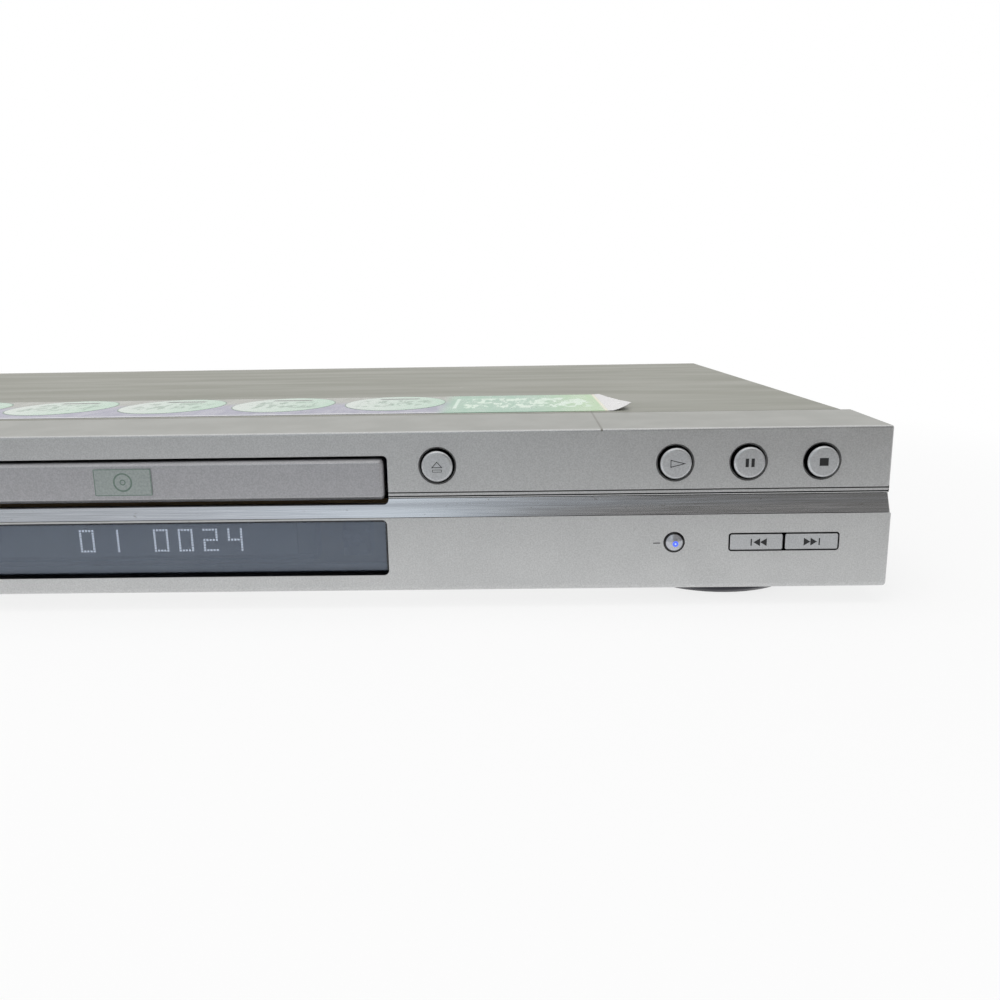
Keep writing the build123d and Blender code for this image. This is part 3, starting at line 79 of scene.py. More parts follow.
def change(nodes, links, value, low, high, first, last):
    """Smooth change from the first to the last result while the value goes from low to high."""
    span = nodes.new("ShaderNodeMapRange")
    span.interpolation_type = "SMOOTHSTEP"
    links.new(value, span.inputs["Value"])
    span.inputs["From Min"].default_value = low
    span.inputs["From Max"].default_value = high
    span.inputs["To Min"].default_value = first
    span.inputs["To Max"].default_value = last
    return span.outputs["Result"]


room = bpy.data.worlds.new("studio_room")
bpy.context.scene.world = room
room.use_nodes = True
nodes, links = room.node_tree.nodes, room.node_tree.links
nodes.clear()
parts = nodes.new("ShaderNodeSeparateXYZ")
links.new(nodes.new("ShaderNodeTexCoord").outputs["Generated"], parts.inputs[0])
across, along, upward = parts.outputs["X"], parts.outputs["Y"], parts.outputs["Z"]
in_front = change(nodes, links, along, -0.30, 0.0, 1.0, 0.0)
in_front = arithmetic(nodes, links, "MULTIPLY", in_front, change(nodes, links, upward, 0.72, 0.93, 1.0, 0.0))
wall = nodes.new("ShaderNodeValToRGB")
wall.color_ramp.elements[0].position = 0.10
wall.color_ramp.elements[0].color = (0.50, 0.52, 0.54, 1)
wall.color_ramp.elements[1].position = 0.70
wall.color_ramp.elements[1].color = (0.165, 0.158, 0.150, 1)
for position, colour in (
    (0.30, (0.60, 0.63, 0.67, 1)),
    (0.42, (0.72, 0.78, 0.84, 1)),
    (0.49, (0.86, 0.94, 1.0, 1)),
    (0.54, (0.62, 0.68, 0.74, 1)),
    (0.575, (0.38, 0.41, 0.44, 1)),
    (0.61, (0.25, 0.255, 0.26, 1)),
    (0.65, (0.19, 0.186, 0.18, 1)),
):
    wall.color_ramp.elements.new(position).color = colour
links.new(arithmetic(nodes, links, "ADD", across, 0.6), wall.inputs["Fac"])
front_wall = nodes.new("ShaderNodeBackground")
links.new(wall.outputs["Color"], front_wall.inputs["Color"])
overhead = nodes.new("ShaderNodeBackground")
overhead.inputs["Color"].default_value = (1.0, 0.995, 0.975, 1)
links.new(change(nodes, links, upward, 0.0, 0.95, 0.84, 1.10), overhead.inputs["Strength"])
mirrored = nodes.new("ShaderNodeMixShader")
links.new(in_front, mirrored.inputs["Fac"])
links.new(overhead.outputs[0], mirrored.inputs[1])
links.new(front_wall.outputs[0], mirrored.inputs[2])
even = nodes.new("ShaderNodeBackground")
even.inputs["Color"].default_value = (1.0, 1.0, 1.0, 1)
even.inputs["Strength"].default_value = 0.50
white = nodes.new("ShaderNodeBackground")
white.inputs["Color"].default_value = (1.0, 1.0, 1.0, 1)
white.inputs["Strength"].default_value = 1.0
ray = nodes.new("ShaderNodeLightPath")
seen = arithmetic(nodes, links, "MAXIMUM", ray.outputs["Is Camera Ray"], ray.outputs["Is Transmission Ray"])
by_gloss = nodes.new("ShaderNodeMixShader")
links.new(ray.outputs["Is Glossy Ray"], by_gloss.inputs["Fac"])
links.new(even.outputs[0], by_gloss.inputs[1])
links.new(mirrored.outputs[0], by_gloss.inputs[2])
by_camera = nodes.new("ShaderNodeMixShader")
links.new(seen, by_camera.inputs["Fac"])
links.new(by_gloss.outputs[0], by_camera.inputs[1])
links.new(white.outputs[0], by_camera.inputs[2])
links.new(by_camera.outputs[0], nodes.new("ShaderNodeOutputWorld").inputs["Surface"])


# Floor and lamps. A white sheet that runs out of view, with the player's faint shadow on it, a
# wide soft box over the player and a weaker one at the front left.
bpy.ops.object.select_all(action="DESELECT")
bpy.ops.mesh.primitive_circle_add(vertices=96, radius=0.62, fill_type="NGON", location=(0, 0, 0))
floor = bpy.context.active_object
floor.name = "studio_floor"
sheet = bpy.data.materials.new("white_floor")
sheet.use_nodes = True
nodes, links = sheet.node_tree.nodes, sheet.node_tree.links
nodes.clear()
paper = nodes.new("ShaderNodeBsdfDiffuse")
paper.inputs["Color"].default_value = (0.86, 0.86, 0.86, 1)
glow = nodes.new("ShaderNodeEmission")
glow.inputs["Strength"].default_value = 1.0
# Painted reflection: for glossy rays the sheet glows instead of being lit, dimmer farther in front.
reflected_floor_glow = nodes.new("ShaderNodeEmission")
ray = nodes.new("ShaderNodeLightPath")
place = nodes.new("ShaderNodeTexCoord").outputs["Object"]
parts = nodes.new("ShaderNodeSeparateXYZ")
links.new(place, parts.inputs[0])
links.new(change(nodes, links, parts.outputs["Y"], -0.40, -0.15, 0.34, 1.06), reflected_floor_glow.inputs["Strength"])
reach = nodes.new("ShaderNodeVectorMath")
reach.operation = "LENGTH"
links.new(place, reach.inputs[0])
whiteness = change(nodes, links, reach.outputs["Value"], 0.26, 0.50, 0.80, 1.0)
whiteness = arithmetic(nodes, links, "MULTIPLY", whiteness, ray.outputs["Is Camera Ray"])
for_gloss = nodes.new("ShaderNodeMixShader")
links.new(ray.outputs["Is Glossy Ray"], for_gloss.inputs["Fac"])
links.new(paper.outputs[0], for_gloss.inputs[1])
links.new(reflected_floor_glow.outputs[0], for_gloss.inputs[2])
for_camera = nodes.new("ShaderNodeMixShader")
links.new(whiteness, for_camera.inputs["Fac"])
links.new(for_gloss.outputs[0], for_camera.inputs[1])
links.new(glow.outputs[0], for_camera.inputs[2])
links.new(for_camera.outputs[0], nodes.new("ShaderNodeOutputMaterial").inputs["Surface"])
floor.data.materials.append(sheet)
for name, size, energy, place in (
    ("ceiling_box", 1.1, 9.0, (-0.15, -0.1, 1.25)),
    ("front_box", 0.7, 2.2, (-0.55, -0.95, 0.75)),
):
    soft_box = bpy.data.lights.new(name, "AREA")
    soft_box.size = size
    soft_box.energy = energy
    lamp = bpy.data.objects.new(name, soft_box)
    bpy.context.collection.objects.link(lamp)
    lamp.location = place
    lamp.rotation_euler = (-Vector(place)).to_track_quat("-Z", "Y").to_euler()
    lamp.visible_glossy = False


# Top cover. One steel sheet bent over the top and both sides, with baked silver-grey paint that is
# slightly warm. It has fine streaks, and the short scuffs of things that were slid over it.
def tone(red, green, blue):
    """Linear colour from the values of a 0 to 255 colour card."""
    def linear(value):
        share = value / 255
        return share / 12.92 if share <= 0.04045 else ((share + 0.055) / 1.055) ** 2.4
    return (linear(red), linear(green), linear(blue), 1)


def finish(name, colour, roughness, metallic=0.0, coat=0.0):
    """A plain surface, to which grain and wear are then added."""
    made = bpy.data.materials.new(name)
    made.use_nodes = True
    shader = made.node_tree.nodes["Principled BSDF"]
    shader.inputs["Base Color"].default_value = colour
    shader.inputs["Roughness"].default_value = roughness
    shader.inputs["Metallic"].default_value = metallic
    shader.inputs["Coat Weight"].default_value = coat
    shader.inputs["Coat Roughness"].default_value = 0.12
    return made


def grain(made, size, stretch=(1, 1, 1), detail=3.0):
    """Noise that is fixed to the piece; size is one blotch in metres."""
    nodes, links = made.node_tree.nodes, made.node_tree.links
    mapping = nodes.new("ShaderNodeMapping")
    links.new(nodes.new("ShaderNodeTexCoord").outputs["Object"], mapping.inputs["Vector"])
    mapping.inputs["Scale"].default_value = stretch
    noise = nodes.new("ShaderNodeTexNoise")
    noise.inputs["Scale"].default_value = 1 / size
    noise.inputs["Detail"].default_value = detail
    links.new(mapping.outputs["Vector"], noise.inputs["Vector"])
    return noise.outputs["Fac"]


def two_tone(made, value, first, second, low=0.35, high=0.65):
    """Colours the surface from first to second as the value rises."""
    nodes, links = made.node_tree.nodes, made.node_tree.links
    ramp = nodes.new("ShaderNodeValToRGB")
    ramp.color_ramp.elements[0].position = low
    ramp.color_ramp.elements[0].color = first
    ramp.color_ramp.elements[1].position = high
    ramp.color_ramp.elements[1].color = second
    links.new(value, ramp.inputs["Fac"])
    links.new(ramp.outputs["Color"], nodes["Principled BSDF"].inputs["Base Color"])


def stain(made, share, colour):
    """Lays a second colour over the surface by a share from 0 to 1."""
    nodes, links = made.node_tree.nodes, made.node_tree.links
    target = nodes["Principled BSDF"].inputs["Base Color"]
    over = nodes.new("ShaderNodeMix")
    over.data_type = "RGBA"
    links.new(share, over.inputs["Factor"])
    links.new(target.links[0].from_socket, over.inputs["A"])
    over.inputs["B"].default_value = colour
    links.new(over.outputs["Result"], target)


def specks(made, value, colour, low, high, most):
    """Lays a colour where the value is high, up to a share of most."""
    nodes, links = made.node_tree.nodes, made.node_tree.links
    stain(made, change(nodes, links, value, low, high, 0.0, most), colour)


def gloss(made, value, low, high):
    """Varies the roughness over the surface."""
    nodes, links = made.node_tree.nodes, made.node_tree.links
    result = change(nodes, links, value, 0.3, 0.7, low, high)
    links.new(result, nodes["Principled BSDF"].inputs["Roughness"])


def relief(made, value, height):
    """Raises the surface by up to a height in metres where the value is high."""
    nodes, links = made.node_tree.nodes, made.node_tree.links
    bump = nodes.new("ShaderNodeBump")
    bump.inputs["Distance"].default_value = height
    links.new(value, bump.inputs["Height"])
    links.new(bump.outputs["Normal"], nodes["Principled BSDF"].inputs["Normal"])


def region(made, soft=0.05, **spans):
    """Share from 0 to 1 that is 1 inside the given X, Y and Z spans, in millimetres."""
    nodes, links = made.node_tree.nodes, made.node_tree.links
    parts = nodes.new("ShaderNodeSeparateXYZ")
    links.new(nodes.new("ShaderNodeTexCoord").outputs["Object"], parts.inputs[0])
    share = None
    for axis, (low, high) in spans.items():
        for edge, first, last in ((low, 0.0, 1.0), (high, 1.0, 0.0)):
            if edge is None:
                continue
            limits = ((edge - soft) * MM, (edge + soft) * MM)
            step = change(nodes, links, parts.outputs[axis.upper()], *limits, first, last)
            share = step if share is None else arithmetic(nodes, links, "MULTIPLY", share, step)
    return share


def body_of(node):
    """The body that a node moves with."""
    for name, members in frame["record"]["behaviour"]["bodies"].items():
        if node in members:
            return name
    raise ValueError(node)


def rounded(node, name, edge, made, angle=32):
    """A copy of a CAD node with merged corners, finely rounded edges and smooth curves."""
    bpy.ops.object.select_all(action="DESELECT")
    piece = bpy.data.objects.new(name, frame["nodes"][node].data.copy())
    bpy.context.collection.objects.link(piece)
    piece.select_set(True)
    bpy.context.view_layer.objects.active = piece
    bpy.ops.mesh.customdata_custom_splitnormals_clear()
    bpy.ops.object.mode_set(mode="EDIT")
    bpy.ops.mesh.select_all(action="SELECT")
    bpy.ops.mesh.remove_doubles(threshold=2e-6)
    bpy.ops.mesh.dissolve_limited(angle_limit=math.radians(1.0))
    bpy.ops.object.mode_set(mode="OBJECT")
    bevel = piece.modifiers.new("edge", "BEVEL")
    bevel.width = edge
    bevel.segments = 2
    bevel.limit_method = "ANGLE"
    bevel.angle_limit = math.radians(angle)
    bevel.miter_outer = "MITER_ARC"
    bpy.ops.object.modifier_apply(modifier="edge")
    bpy.ops.object.shade_smooth_by_angle(angle=math.radians(angle))
    flat = piece.modifiers.new("flat", "WEIGHTED_NORMAL")
    flat.keep_sharp = True
    bpy.ops.object.modifier_apply(modifier="flat")
    piece.data.materials.clear()
    piece.data.materials.append(made)
    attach(piece, body_of(node))
    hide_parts(node)
    return piece


cover_paint = finish("cover_paint_warm_grey", tone(141, 141, 132), 0.42, metallic=0.5)
two_tone(cover_paint, grain(cover_paint, 0.02, (0.12, 1, 1), 6.0), tone(130, 131, 120), tone(139, 139, 129))
specks(cover_paint, grain(cover_paint, 0.004, (0.16, 1, 1), 5.0), tone(108, 107, 98), 0.66, 0.76, 0.55)
specks(cover_paint, grain(cover_paint, 0.003, (1, 0.3, 1), 4.0), tone(176, 176, 170), 0.70, 0.78, 0.5)
seam_line = {"x": (134.3, 134.9), "y": (None, -96.0), "z": (50.0, None)}
stain(cover_paint, region(cover_paint, soft=0.1, **seam_line), tone(118, 117, 110))
gloss(cover_paint, grain(cover_paint, 0.012, (0.2, 1, 1)), 0.36, 0.46)
relief(cover_paint, grain(cover_paint, 0.0011, detail=2.0), 0.00001)
rounded("top_cover", "cover_sheet", 0.3 * MM, cover_paint)


# Feature label. A thin printed film, lilac along its front and green at its right end, where its
# front corner has come loose and shows the white back. Pale pills are printed in a row on it.
label_film = finish("label_printed_film", tone(150, 149, 168), 0.30)
two_tone(label_film, grain(label_film, 0.006), tone(144, 143, 163), tone(156, 155, 174))
stain(label_film, region(label_film, soft=7.0, y=(-64.0, None)), tone(158, 159, 152))
stain(label_film, region(label_film, soft=0.3, y=(None, -93.4)), tone(196, 196, 204))
stain(label_film, region(label_film, soft=3.0, x=(87.0, None)), tone(150, 184, 164))
stain(label_film, region(label_film, soft=14.0, x=(126.0, None)), tone(172, 202, 160))
nodes, links = label_film.node_tree.nodes, label_film.node_tree.links
text_block = region(label_film, soft=1.0, x=(93.5, 136.0), y=(-84.0, -54.0))
text_dots = change(nodes, links, grain(label_film, 0.0022, (1, 0.3, 1), 2.0), 0.48, 0.56, 0.0, 0.9)
stain(label_film, arithmetic(nodes, links, "MULTIPLY", text_block, text_dots), tone(214, 232, 216))
stain(label_film, region(label_film, soft=0.3, x=(90.0, 91.2), y=(-84.0, -54.0)), tone(206, 226, 212))
stain(label_film, region(label_film, soft=0.3, x=(139.2, 140.2)), tone(224, 220, 200))
stain(label_film, region(label_film, soft=0.2, x=(140.2, None)), tone(216, 215, 216))
gloss(label_film, grain(label_film, 0.003, (1, 0.2, 1)), 0.24, 0.36)
frame["nodes"]["feature_label"].data.materials[0] = label_film

PILL_PITCH = 39.3
pill_print = finish("label_pill_print", tone(186, 200, 189), 0.30)
nodes, links = pill_print.node_tree.nodes, pill_print.node_tree.links
parts = nodes.new("ShaderNodeSeparateXYZ")
links.new(nodes.new("ShaderNodeTexCoord").outputs["Object"], parts.inputs[0])
in_pill = arithmetic(nodes, links, "MULTIPLY_ADD", parts.outputs["X"], 1 / (PILL_PITCH * MM), 3.7468)
in_pill = arithmetic(nodes, links, "FRACT", in_pill)
two_tone(pill_print, in_pill, tone(204, 212, 206), tone(172, 202, 182), 0.10, 0.90)
for depths, left, right, ink, most in (
    ((-76.0, -56.0), (0.14, 0.24), (0.74, 0.86), tone(96, 128, 108), 0.62),
    ((-53.4, -50.2), (0.30, 0.33), (0.66, 0.69), tone(70, 78, 74), None),
):
    share = region(pill_print, soft=0.6, y=depths)
    share = arithmetic(nodes, links, "MULTIPLY", share, change(nodes, links, in_pill, *left, 0.0, 1.0))
    share = arithmetic(nodes, links, "MULTIPLY", share, change(nodes, links, in_pill, *right, 1.0, 0.0))
    if most:
        spots = change(nodes, links, grain(pill_print, 0.0022, (1, 0.35, 1), 2.0), 0.50, 0.58, 0.0, most)
        share = arithmetic(nodes, links, "MULTIPLY", share, spots)
    stain(pill_print, share, ink)
gloss(pill_print, grain(pill_print, 0.004), 0.22, 0.34)
pill_line = finish("label_pill_outline", tone(112, 132, 120), 0.35)
two_tone(pill_line, grain(pill_line, 0.002), tone(104, 124, 112), tone(120, 140, 128))
film_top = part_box("top_cover")[1].z + 0.15 * MM
for name, extra, lift, made in (("label_pill_rims", 0.9, 0.02, pill_line), ("label_pills", 0.0, 0.05, pill_print)):
    bpy.ops.object.select_all(action="DESELECT")
    pills = []
    for index in range(6):
        bpy.ops.mesh.primitive_circle_add(vertices=48, radius=1, fill_type="NGON")
        pill = bpy.context.active_object
        bpy.ops.object.mode_set(mode="EDIT")
        half = ((17.2 + extra * 0.4) * MM, (21.6 + extra) * MM, 1)
        bpy.ops.transform.resize(value=half, center_override=(0, 0, 0))
        bpy.ops.mesh.extrude_region_move(TRANSFORM_OT_translate={"value": (0, 0, lift * MM)})
        bpy.ops.mesh.select_all(action="SELECT")
        bpy.ops.mesh.normals_make_consistent(inside=False)
        bpy.ops.object.mode_set(mode="OBJECT")
        pill.location = ((68.9 - index * PILL_PITCH) * MM, -65.2 * MM, film_top)
        pills.append(pill)
    for pill in pills:
        pill.select_set(True)
    bpy.ops.object.join()
    row = bpy.context.active_object
    bpy.ops.object.transform_apply(location=True, rotation=True, scale=True)
    row.name = name
    row.data.materials.clear()
    row.data.materials.append(made)
    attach(row, "cabinet")


# Front panel. Sprayed with fine-flaked silver; every gap, hole wall and groove behind its outer
# faces is painted black as painted shade. Two grooves run above the brushed strip.
def flaked(name, colour, roughness, spread=9, metallic=0.72):
    """Silver spray paint: fine flakes over a cool grey."""
    made = finish(name, tone(*colour), roughness, metallic=metallic)
    darker = tone(*[value - spread for value in colour])
    lighter = tone(*[value + spread for value in colour])
    two_tone(made, grain(made, 0.00038, detail=1.0), darker, lighter, 0.30, 0.70)
    specks(made, grain(made, 0.0019, detail=4.0), tone(*[value - 44 for value in colour]), 0.71, 0.78, 0.30)
    gloss(made, grain(made, 0.012), roughness - 0.03, roughness + 0.04)
    relief(made, grain(made, 0.00035, detail=1.0), 0.000006)
    return made


# Near-black used as painted shade in gaps, holes, grooves and behind caps.
PAINTED_GAP_SHADE = tone(16, 16, 18)
panel_paint = flaked("panel_silver_flake", (190, 191, 191), 0.36)
inside = {"x": (-213.6, 213.6)}
# Painted shade: black on the walls of holes, gaps and the lower groove, grey in the upper groove.
stain(panel_paint, region(panel_paint, soft=0.06, y=(-133.42, None), z=(6.9, 30.0), **inside), PAINTED_GAP_SHADE)
stain(panel_paint, region(panel_paint, soft=0.06, y=(-130.74, None), z=(30.0, 50.0), **inside), PAINTED_GAP_SHADE)
stain(panel_paint, region(panel_paint, soft=0.04, y=(-131.15, None), z=(31.9, 32.75)), PAINTED_GAP_SHADE)
stain(panel_paint, region(panel_paint, soft=0.04, y=(-131.15, None), z=(33.0, 33.8)), tone(78, 78, 78))
# Painted shade: the flat top of the moulding is a darker silver than its front face.
stain(panel_paint, region(panel_paint, soft=0.3, y=(-130.4, None), z=(50.0, None)), tone(158, 159, 155))
stain(panel_paint, region(panel_paint, soft=0.1, **seam_line), tone(128, 127, 122))
rounded("front_panel", "panel_moulding", 0.18 * MM, panel_paint)


# Brushed strip. Aluminium, brushed along its length, so that what it mirrors stays sharp from side
# to side: a glow left of the buttons that fades to dark at the right.
band_metal = finish("band_brushed_aluminium", tone(216, 218, 221), 0.22, metallic=1.0)
brushing = grain(band_metal, 0.00022, stretch=(0.012, 1, 1), detail=4.0)
two_tone(band_metal, brushing, tone(204, 206, 209), tone(226, 228, 232), 0.30, 0.70)
specks(band_metal, grain(band_metal, 0.0011, (0.5, 1, 1), 3.0), tone(150, 144, 136), 0.66, 0.76, 0.5)
gloss(band_metal, brushing, 0.20, 0.25)
relief(band_metal, brushing, 0.000002)
band_metal.node_tree.nodes["Principled BSDF"].inputs["Anisotropic"].default_value = 0.88
band_metal.node_tree.nodes["Principled BSDF"].inputs["Anisotropic Rotation"].default_value = 0.25
frame["nodes"]["trim_band"].data.materials[0] = band_metal


# Display. A smoked window, flush in the panel, over a vacuum tube whose dotted digits glow pale.
# The remote-control receiver stands beside the tube.
window_tint = finish("window_smoked_acrylic", tone(106, 118, 133), 0.10, coat=0.4)
two_tone(window_tint, grain(window_tint, 0.03), tone(108, 120, 138), tone(114, 126, 142))
# Painted shade: dark along the window's four edges, where the gap around it lies.
for spans in ({"x": (73.75, None)}, {"x": (None, -73.75)}, {"z": (25.5, None)}, {"z": (None, 11.2)}):
    stain(window_tint, region(window_tint, soft=0.12, **spans), tone(20, 22, 26))
gloss(window_tint, grain(window_tint, 0.008), 0.08, 0.16)
window_tint.node_tree.nodes["Principled BSDF"].inputs["Alpha"].default_value = 0.52
rounded("display_window", "smoked_window", 0.2 * MM, window_tint)

tube_glass = finish("tube_dark_glass", tone(84, 92, 104), 0.12)
two_tone(tube_glass, grain(tube_glass, 0.004, (1, 1, 0.3)), tone(76, 84, 96), tone(92, 100, 112))
stain(tube_glass, region(tube_glass, soft=0.3, x=(46.5, None)), tone(14, 14, 18))
stain(tube_glass, region(tube_glass, soft=0.2, z=(None, 14.0)), tone(40, 44, 52))
frame["nodes"]["display_tube"].data.materials[0] = tube_glass
receiver_resin = finish("receiver_dark_resin", tone(34, 24, 28), 0.15)
two_tone(receiver_resin, grain(receiver_resin, 0.003), tone(28, 20, 24), tone(42, 30, 34))
frame["nodes"]["remote_receiver"].data.materials[0] = receiver_resin

STROKES = {"0": "abcdef", "1": "bc", "2": "abged", "4": "fgbc"}
digit_glow = finish("digit_glow", tone(178, 186, 198), 0.5)
two_tone(digit_glow, grain(digit_glow, 0.001), tone(170, 178, 192), tone(186, 194, 204))
digit_glow.node_tree.nodes["Principled BSDF"].inputs["Emission Color"].default_value = tone(206, 216, 230)
digit_glow.node_tree.nodes["Principled BSDF"].inputs["Emission Strength"].default_value = 2.4


def digit_dots(x, low, width, height, strokes):
    """Places of the dots of one digit in X and height, stroke by stroke."""
    middle, top, right = low + height / 2, low + height, x + width
    ends = {
        "a": ((x, top), (right, top)),
        "b": ((right, top), (right, middle)),
        "c": ((right, middle), (right, low)),
        "d": ((x, low), (right, low)),
        "e": ((x, middle), (x, low)),
        "f": ((x, top), (x, middle)),
        "g": ((x, middle), (right, middle)),
    }
    places = set()
    for stroke in strokes:
        (x_start, z_start), (x_end, z_end) = ends[stroke]
        for step in range(5):
            spot = (x_start + step / 4 * (x_end - x_start), z_start + step / 4 * (z_end - z_start))
            places.add((round(spot[0], 3), round(spot[1], 3)))
    return sorted(places)


dots = []
for place, figure in ((0, "0"), (1, "1"), (3, "0"), (4, "0"), (5, "2"), (6, "4")):
    dots += digit_dots(-17.4 + place * 7.3, 15.5, 3.7, 6.2, STROKES[figure])
bpy.ops.object.select_all(action="DESELECT")
bpy.ops.mesh.primitive_plane_add(size=0.56 * MM)
first_dot = bpy.context.active_object
bpy.ops.object.mode_set(mode="EDIT")
bpy.ops.mesh.extrude_region_move(TRANSFORM_OT_translate={"value": (0, 0, 0.08 * MM)})
bpy.ops.mesh.select_all(action="SELECT")
bpy.ops.mesh.normals_make_consistent(inside=False)
bpy.ops.object.mode_set(mode="OBJECT")
first_dot.rotation_euler = (math.pi / 2, 0, 0)
bpy.ops.object.transform_apply(location=False, rotation=True, scale=False)
tube_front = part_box("display_tube")[0].y
copies = []
for x, z in dots:
    dot = bpy.data.objects.new("digit_dot", first_dot.data.copy())
    bpy.context.collection.objects.link(dot)
    dot.location = (x * MM, tube_front, z * MM)
    copies.append(dot)
bpy.data.objects.remove(first_dot)
for dot in copies:
    dot.select_set(True)
bpy.context.view_layer.objects.active = copies[0]
bpy.ops.object.join()
digits = bpy.context.active_object
bpy.ops.object.transform_apply(location=True, rotation=True, scale=True)
digits.name = "display_digits"
digits.data.materials.clear()
digits.data.materials.append(digit_glow)
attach(digits, "cabinet")


# Tray door. The same painted plastic as the panel, with a bevel all round that catches the light
# along its upper and lower edges, and a small pale plate in its middle with a plain disc sign.
def mark(corners, place, size, turn=0.0, line=0.0, thickness=0.04 * MM):
    """A flat printed mark that faces the front: three corners point up, four make a bar."""
    width, height = size
    bpy.ops.object.select_all(action="DESELECT")
    radius = {3: 1 / math.sqrt(3), 4: math.sqrt(0.5)}.get(corners, 0.5)
    bpy.ops.mesh.primitive_circle_add(vertices=corners, radius=radius, fill_type="NGON")
    piece = bpy.context.active_object
    bpy.ops.object.mode_set(mode="EDIT")
    if corners == 4:
        bpy.ops.transform.rotate(value=math.pi / 4, orient_axis="Z", center_override=(0, 0, 0))
    bpy.ops.mesh.select_all(action="SELECT")
    tall = height / (0.866 if corners == 3 else 1)
    bpy.ops.transform.resize(value=(width * MM, tall * MM, 1), center_override=(0, 0, 0))
    if line:
        bpy.ops.mesh.inset(thickness=line * MM)
        bpy.ops.mesh.delete(type="FACE")
        bpy.ops.mesh.select_all(action="SELECT")
    bpy.ops.mesh.extrude_region_move(TRANSFORM_OT_translate={"value": (0, 0, -thickness)})
    bpy.ops.mesh.select_all(action="SELECT")
    bpy.ops.mesh.normals_make_consistent(inside=False)
    bpy.ops.object.mode_set(mode="OBJECT")
    piece.rotation_euler = (math.pi / 2, turn, 0)
    piece.location = place
    bpy.ops.object.transform_apply(location=True, rotation=True, scale=True)
    return piece


def print_on(name, marks, ink, body):
    """Joins printed marks into one piece that moves with what it is printed on."""
    bpy.ops.object.select_all(action="DESELECT")
    for piece in marks:
        piece.select_set(True)
    bpy.context.view_layer.objects.active = marks[0]
    bpy.ops.object.join()
    piece = bpy.context.active_object
    piece.name = name
    piece.data.materials.clear()
    piece.data.materials.append(ink)
    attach(piece, body)


def face_spot(node, right=0.0, above=0.0):
    """A place on the front face of a node, counted from its middle in millimetres."""
    low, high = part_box(node)
    middle = (low + high) / 2
    return (middle.x + right * MM, low.y - 0.02 * MM, middle.z + above * MM)


door_paint = flaked("door_silver_flake", (173, 173, 176), 0.34)
rounded("tray_door", "door_moulding", 0.18 * MM, door_paint)
badge_foil = finish("badge_pale_foil", tone(158, 166, 164), 0.32, metallic=0.5)
two_tone(badge_foil, grain(badge_foil, 0.0006), tone(150, 158, 156), tone(166, 174, 172))
rounded("door_badge", "badge_plate", 0.05 * MM, badge_foil)
badge_ink = finish("badge_green_ink", tone(104, 124, 114), 0.4)
two_tone(badge_ink, grain(badge_ink, 0.0008), tone(96, 116, 106), tone(112, 132, 122))
badge_marks = [
    mark(4, face_spot("door_badge"), (16.2, 7.6), line=0.2),
    mark(40, face_spot("door_badge"), (5.4, 5.4), line=0.45),
    mark(32, face_spot("door_badge"), (1.7, 1.7), line=0.32),
]
print_on("badge_sign", badge_marks, badge_ink, "tray_body")


# Disc tray. Pale grey plastic with a satin surface inside the wells.
tray_plastic = finish("tray_satin_grey", tone(150, 152, 155), 0.45)
two_tone(tray_plastic, grain(tray_plastic, 0.012), tone(144, 146, 149), tone(156, 158, 161))
relief(tray_plastic, grain(tray_plastic, 0.0004, detail=2.0), 0.00001)
rounded("disc_tray", "tray_moulding", 0.25 * MM, tray_plastic)


# Round buttons. Caps of painted plastic with a tapered rim; the skirt behind the rim is painted
# black as painted shade, which fills the gap in the panel. Each has its sign in dark ink.
sign_ink = finish("sign_dark_ink", tone(22, 23, 25), 0.45)
two_tone(sign_ink, grain(sign_ink, 0.0006), tone(18, 19, 21), tone(28, 29, 31))
button_paint = flaked("button_silver_flake", (194, 196, 198), 0.30)
# Painted shade: black on the cap behind its front rim.
stain(button_paint, region(button_paint, soft=0.05, y=(-132.12, None)), PAINTED_GAP_SHADE)
for node in ("power_button", "eject_button", "play_button", "pause_button", "stop_button"):
    rounded(node, node.replace("_button", "_cap"), 0.12 * MM, button_paint, angle=28)
for node, marks in (
    ("power_button", [
        mark(32, face_spot("power_button"), (2.6, 2.6), line=0.28),
        mark(4, face_spot("power_button", above=1.15), (0.34, 1.3)),
    ]),
    ("eject_button", [
        mark(3, face_spot("eject_button", above=0.25), (3.2, 1.8), line=0.2),
        mark(4, face_spot("eject_button", above=-1.2), (2.7, 0.75), line=0.15),
    ]),
    ("play_button", [mark(3, face_spot("play_button", right=-0.15), (2.2, 4.4), turn=math.pi / 2, line=0.22)]),
    ("pause_button", [mark(4, face_spot("pause_button", right=side * 0.8), (0.9, 2.4)) for side in (-1, 1)]),
    ("stop_button", [mark(4, face_spot("stop_button"), (2.45, 2.2))]),
):
    print_on(node.replace("_button", "_sign"), marks, sign_ink, node + "_body")


# Previous and next keys. Two flat caps in one recess whose walls and cap skirts are painted black
# as painted shade, with double arrows and a stop bar in dark ink.
key_paint = flaked("key_silver_flake", (180, 182, 184), 0.32)
# Painted shade: black on each key cap behind its front face.
stain(key_paint, region(key_paint, soft=0.05, y=(-133.5, None)), PAINTED_GAP_SHADE)
for node, side, x in (("previous_key", -1, 178.42), ("next_key", 1, 193.26)):
    rounded(node, node + "_cap", 0.12 * MM, key_paint, angle=28)
    low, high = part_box(node)
    face, middle = low.y - 0.02 * MM, (low.z + high.z) / 2
    marks = [mark(4, ((x + side * 2.05) * MM, face, middle), (0.35, 2.0))]
    for shift in (-1.65, 0.2):
        place = ((x + side * shift) * MM, face, middle)
        marks.append(mark(3, place, (2.25, 1.85), turn=side * math.pi / 2))
    print_on(node + "_sign", marks, sign_ink, node + "_body")
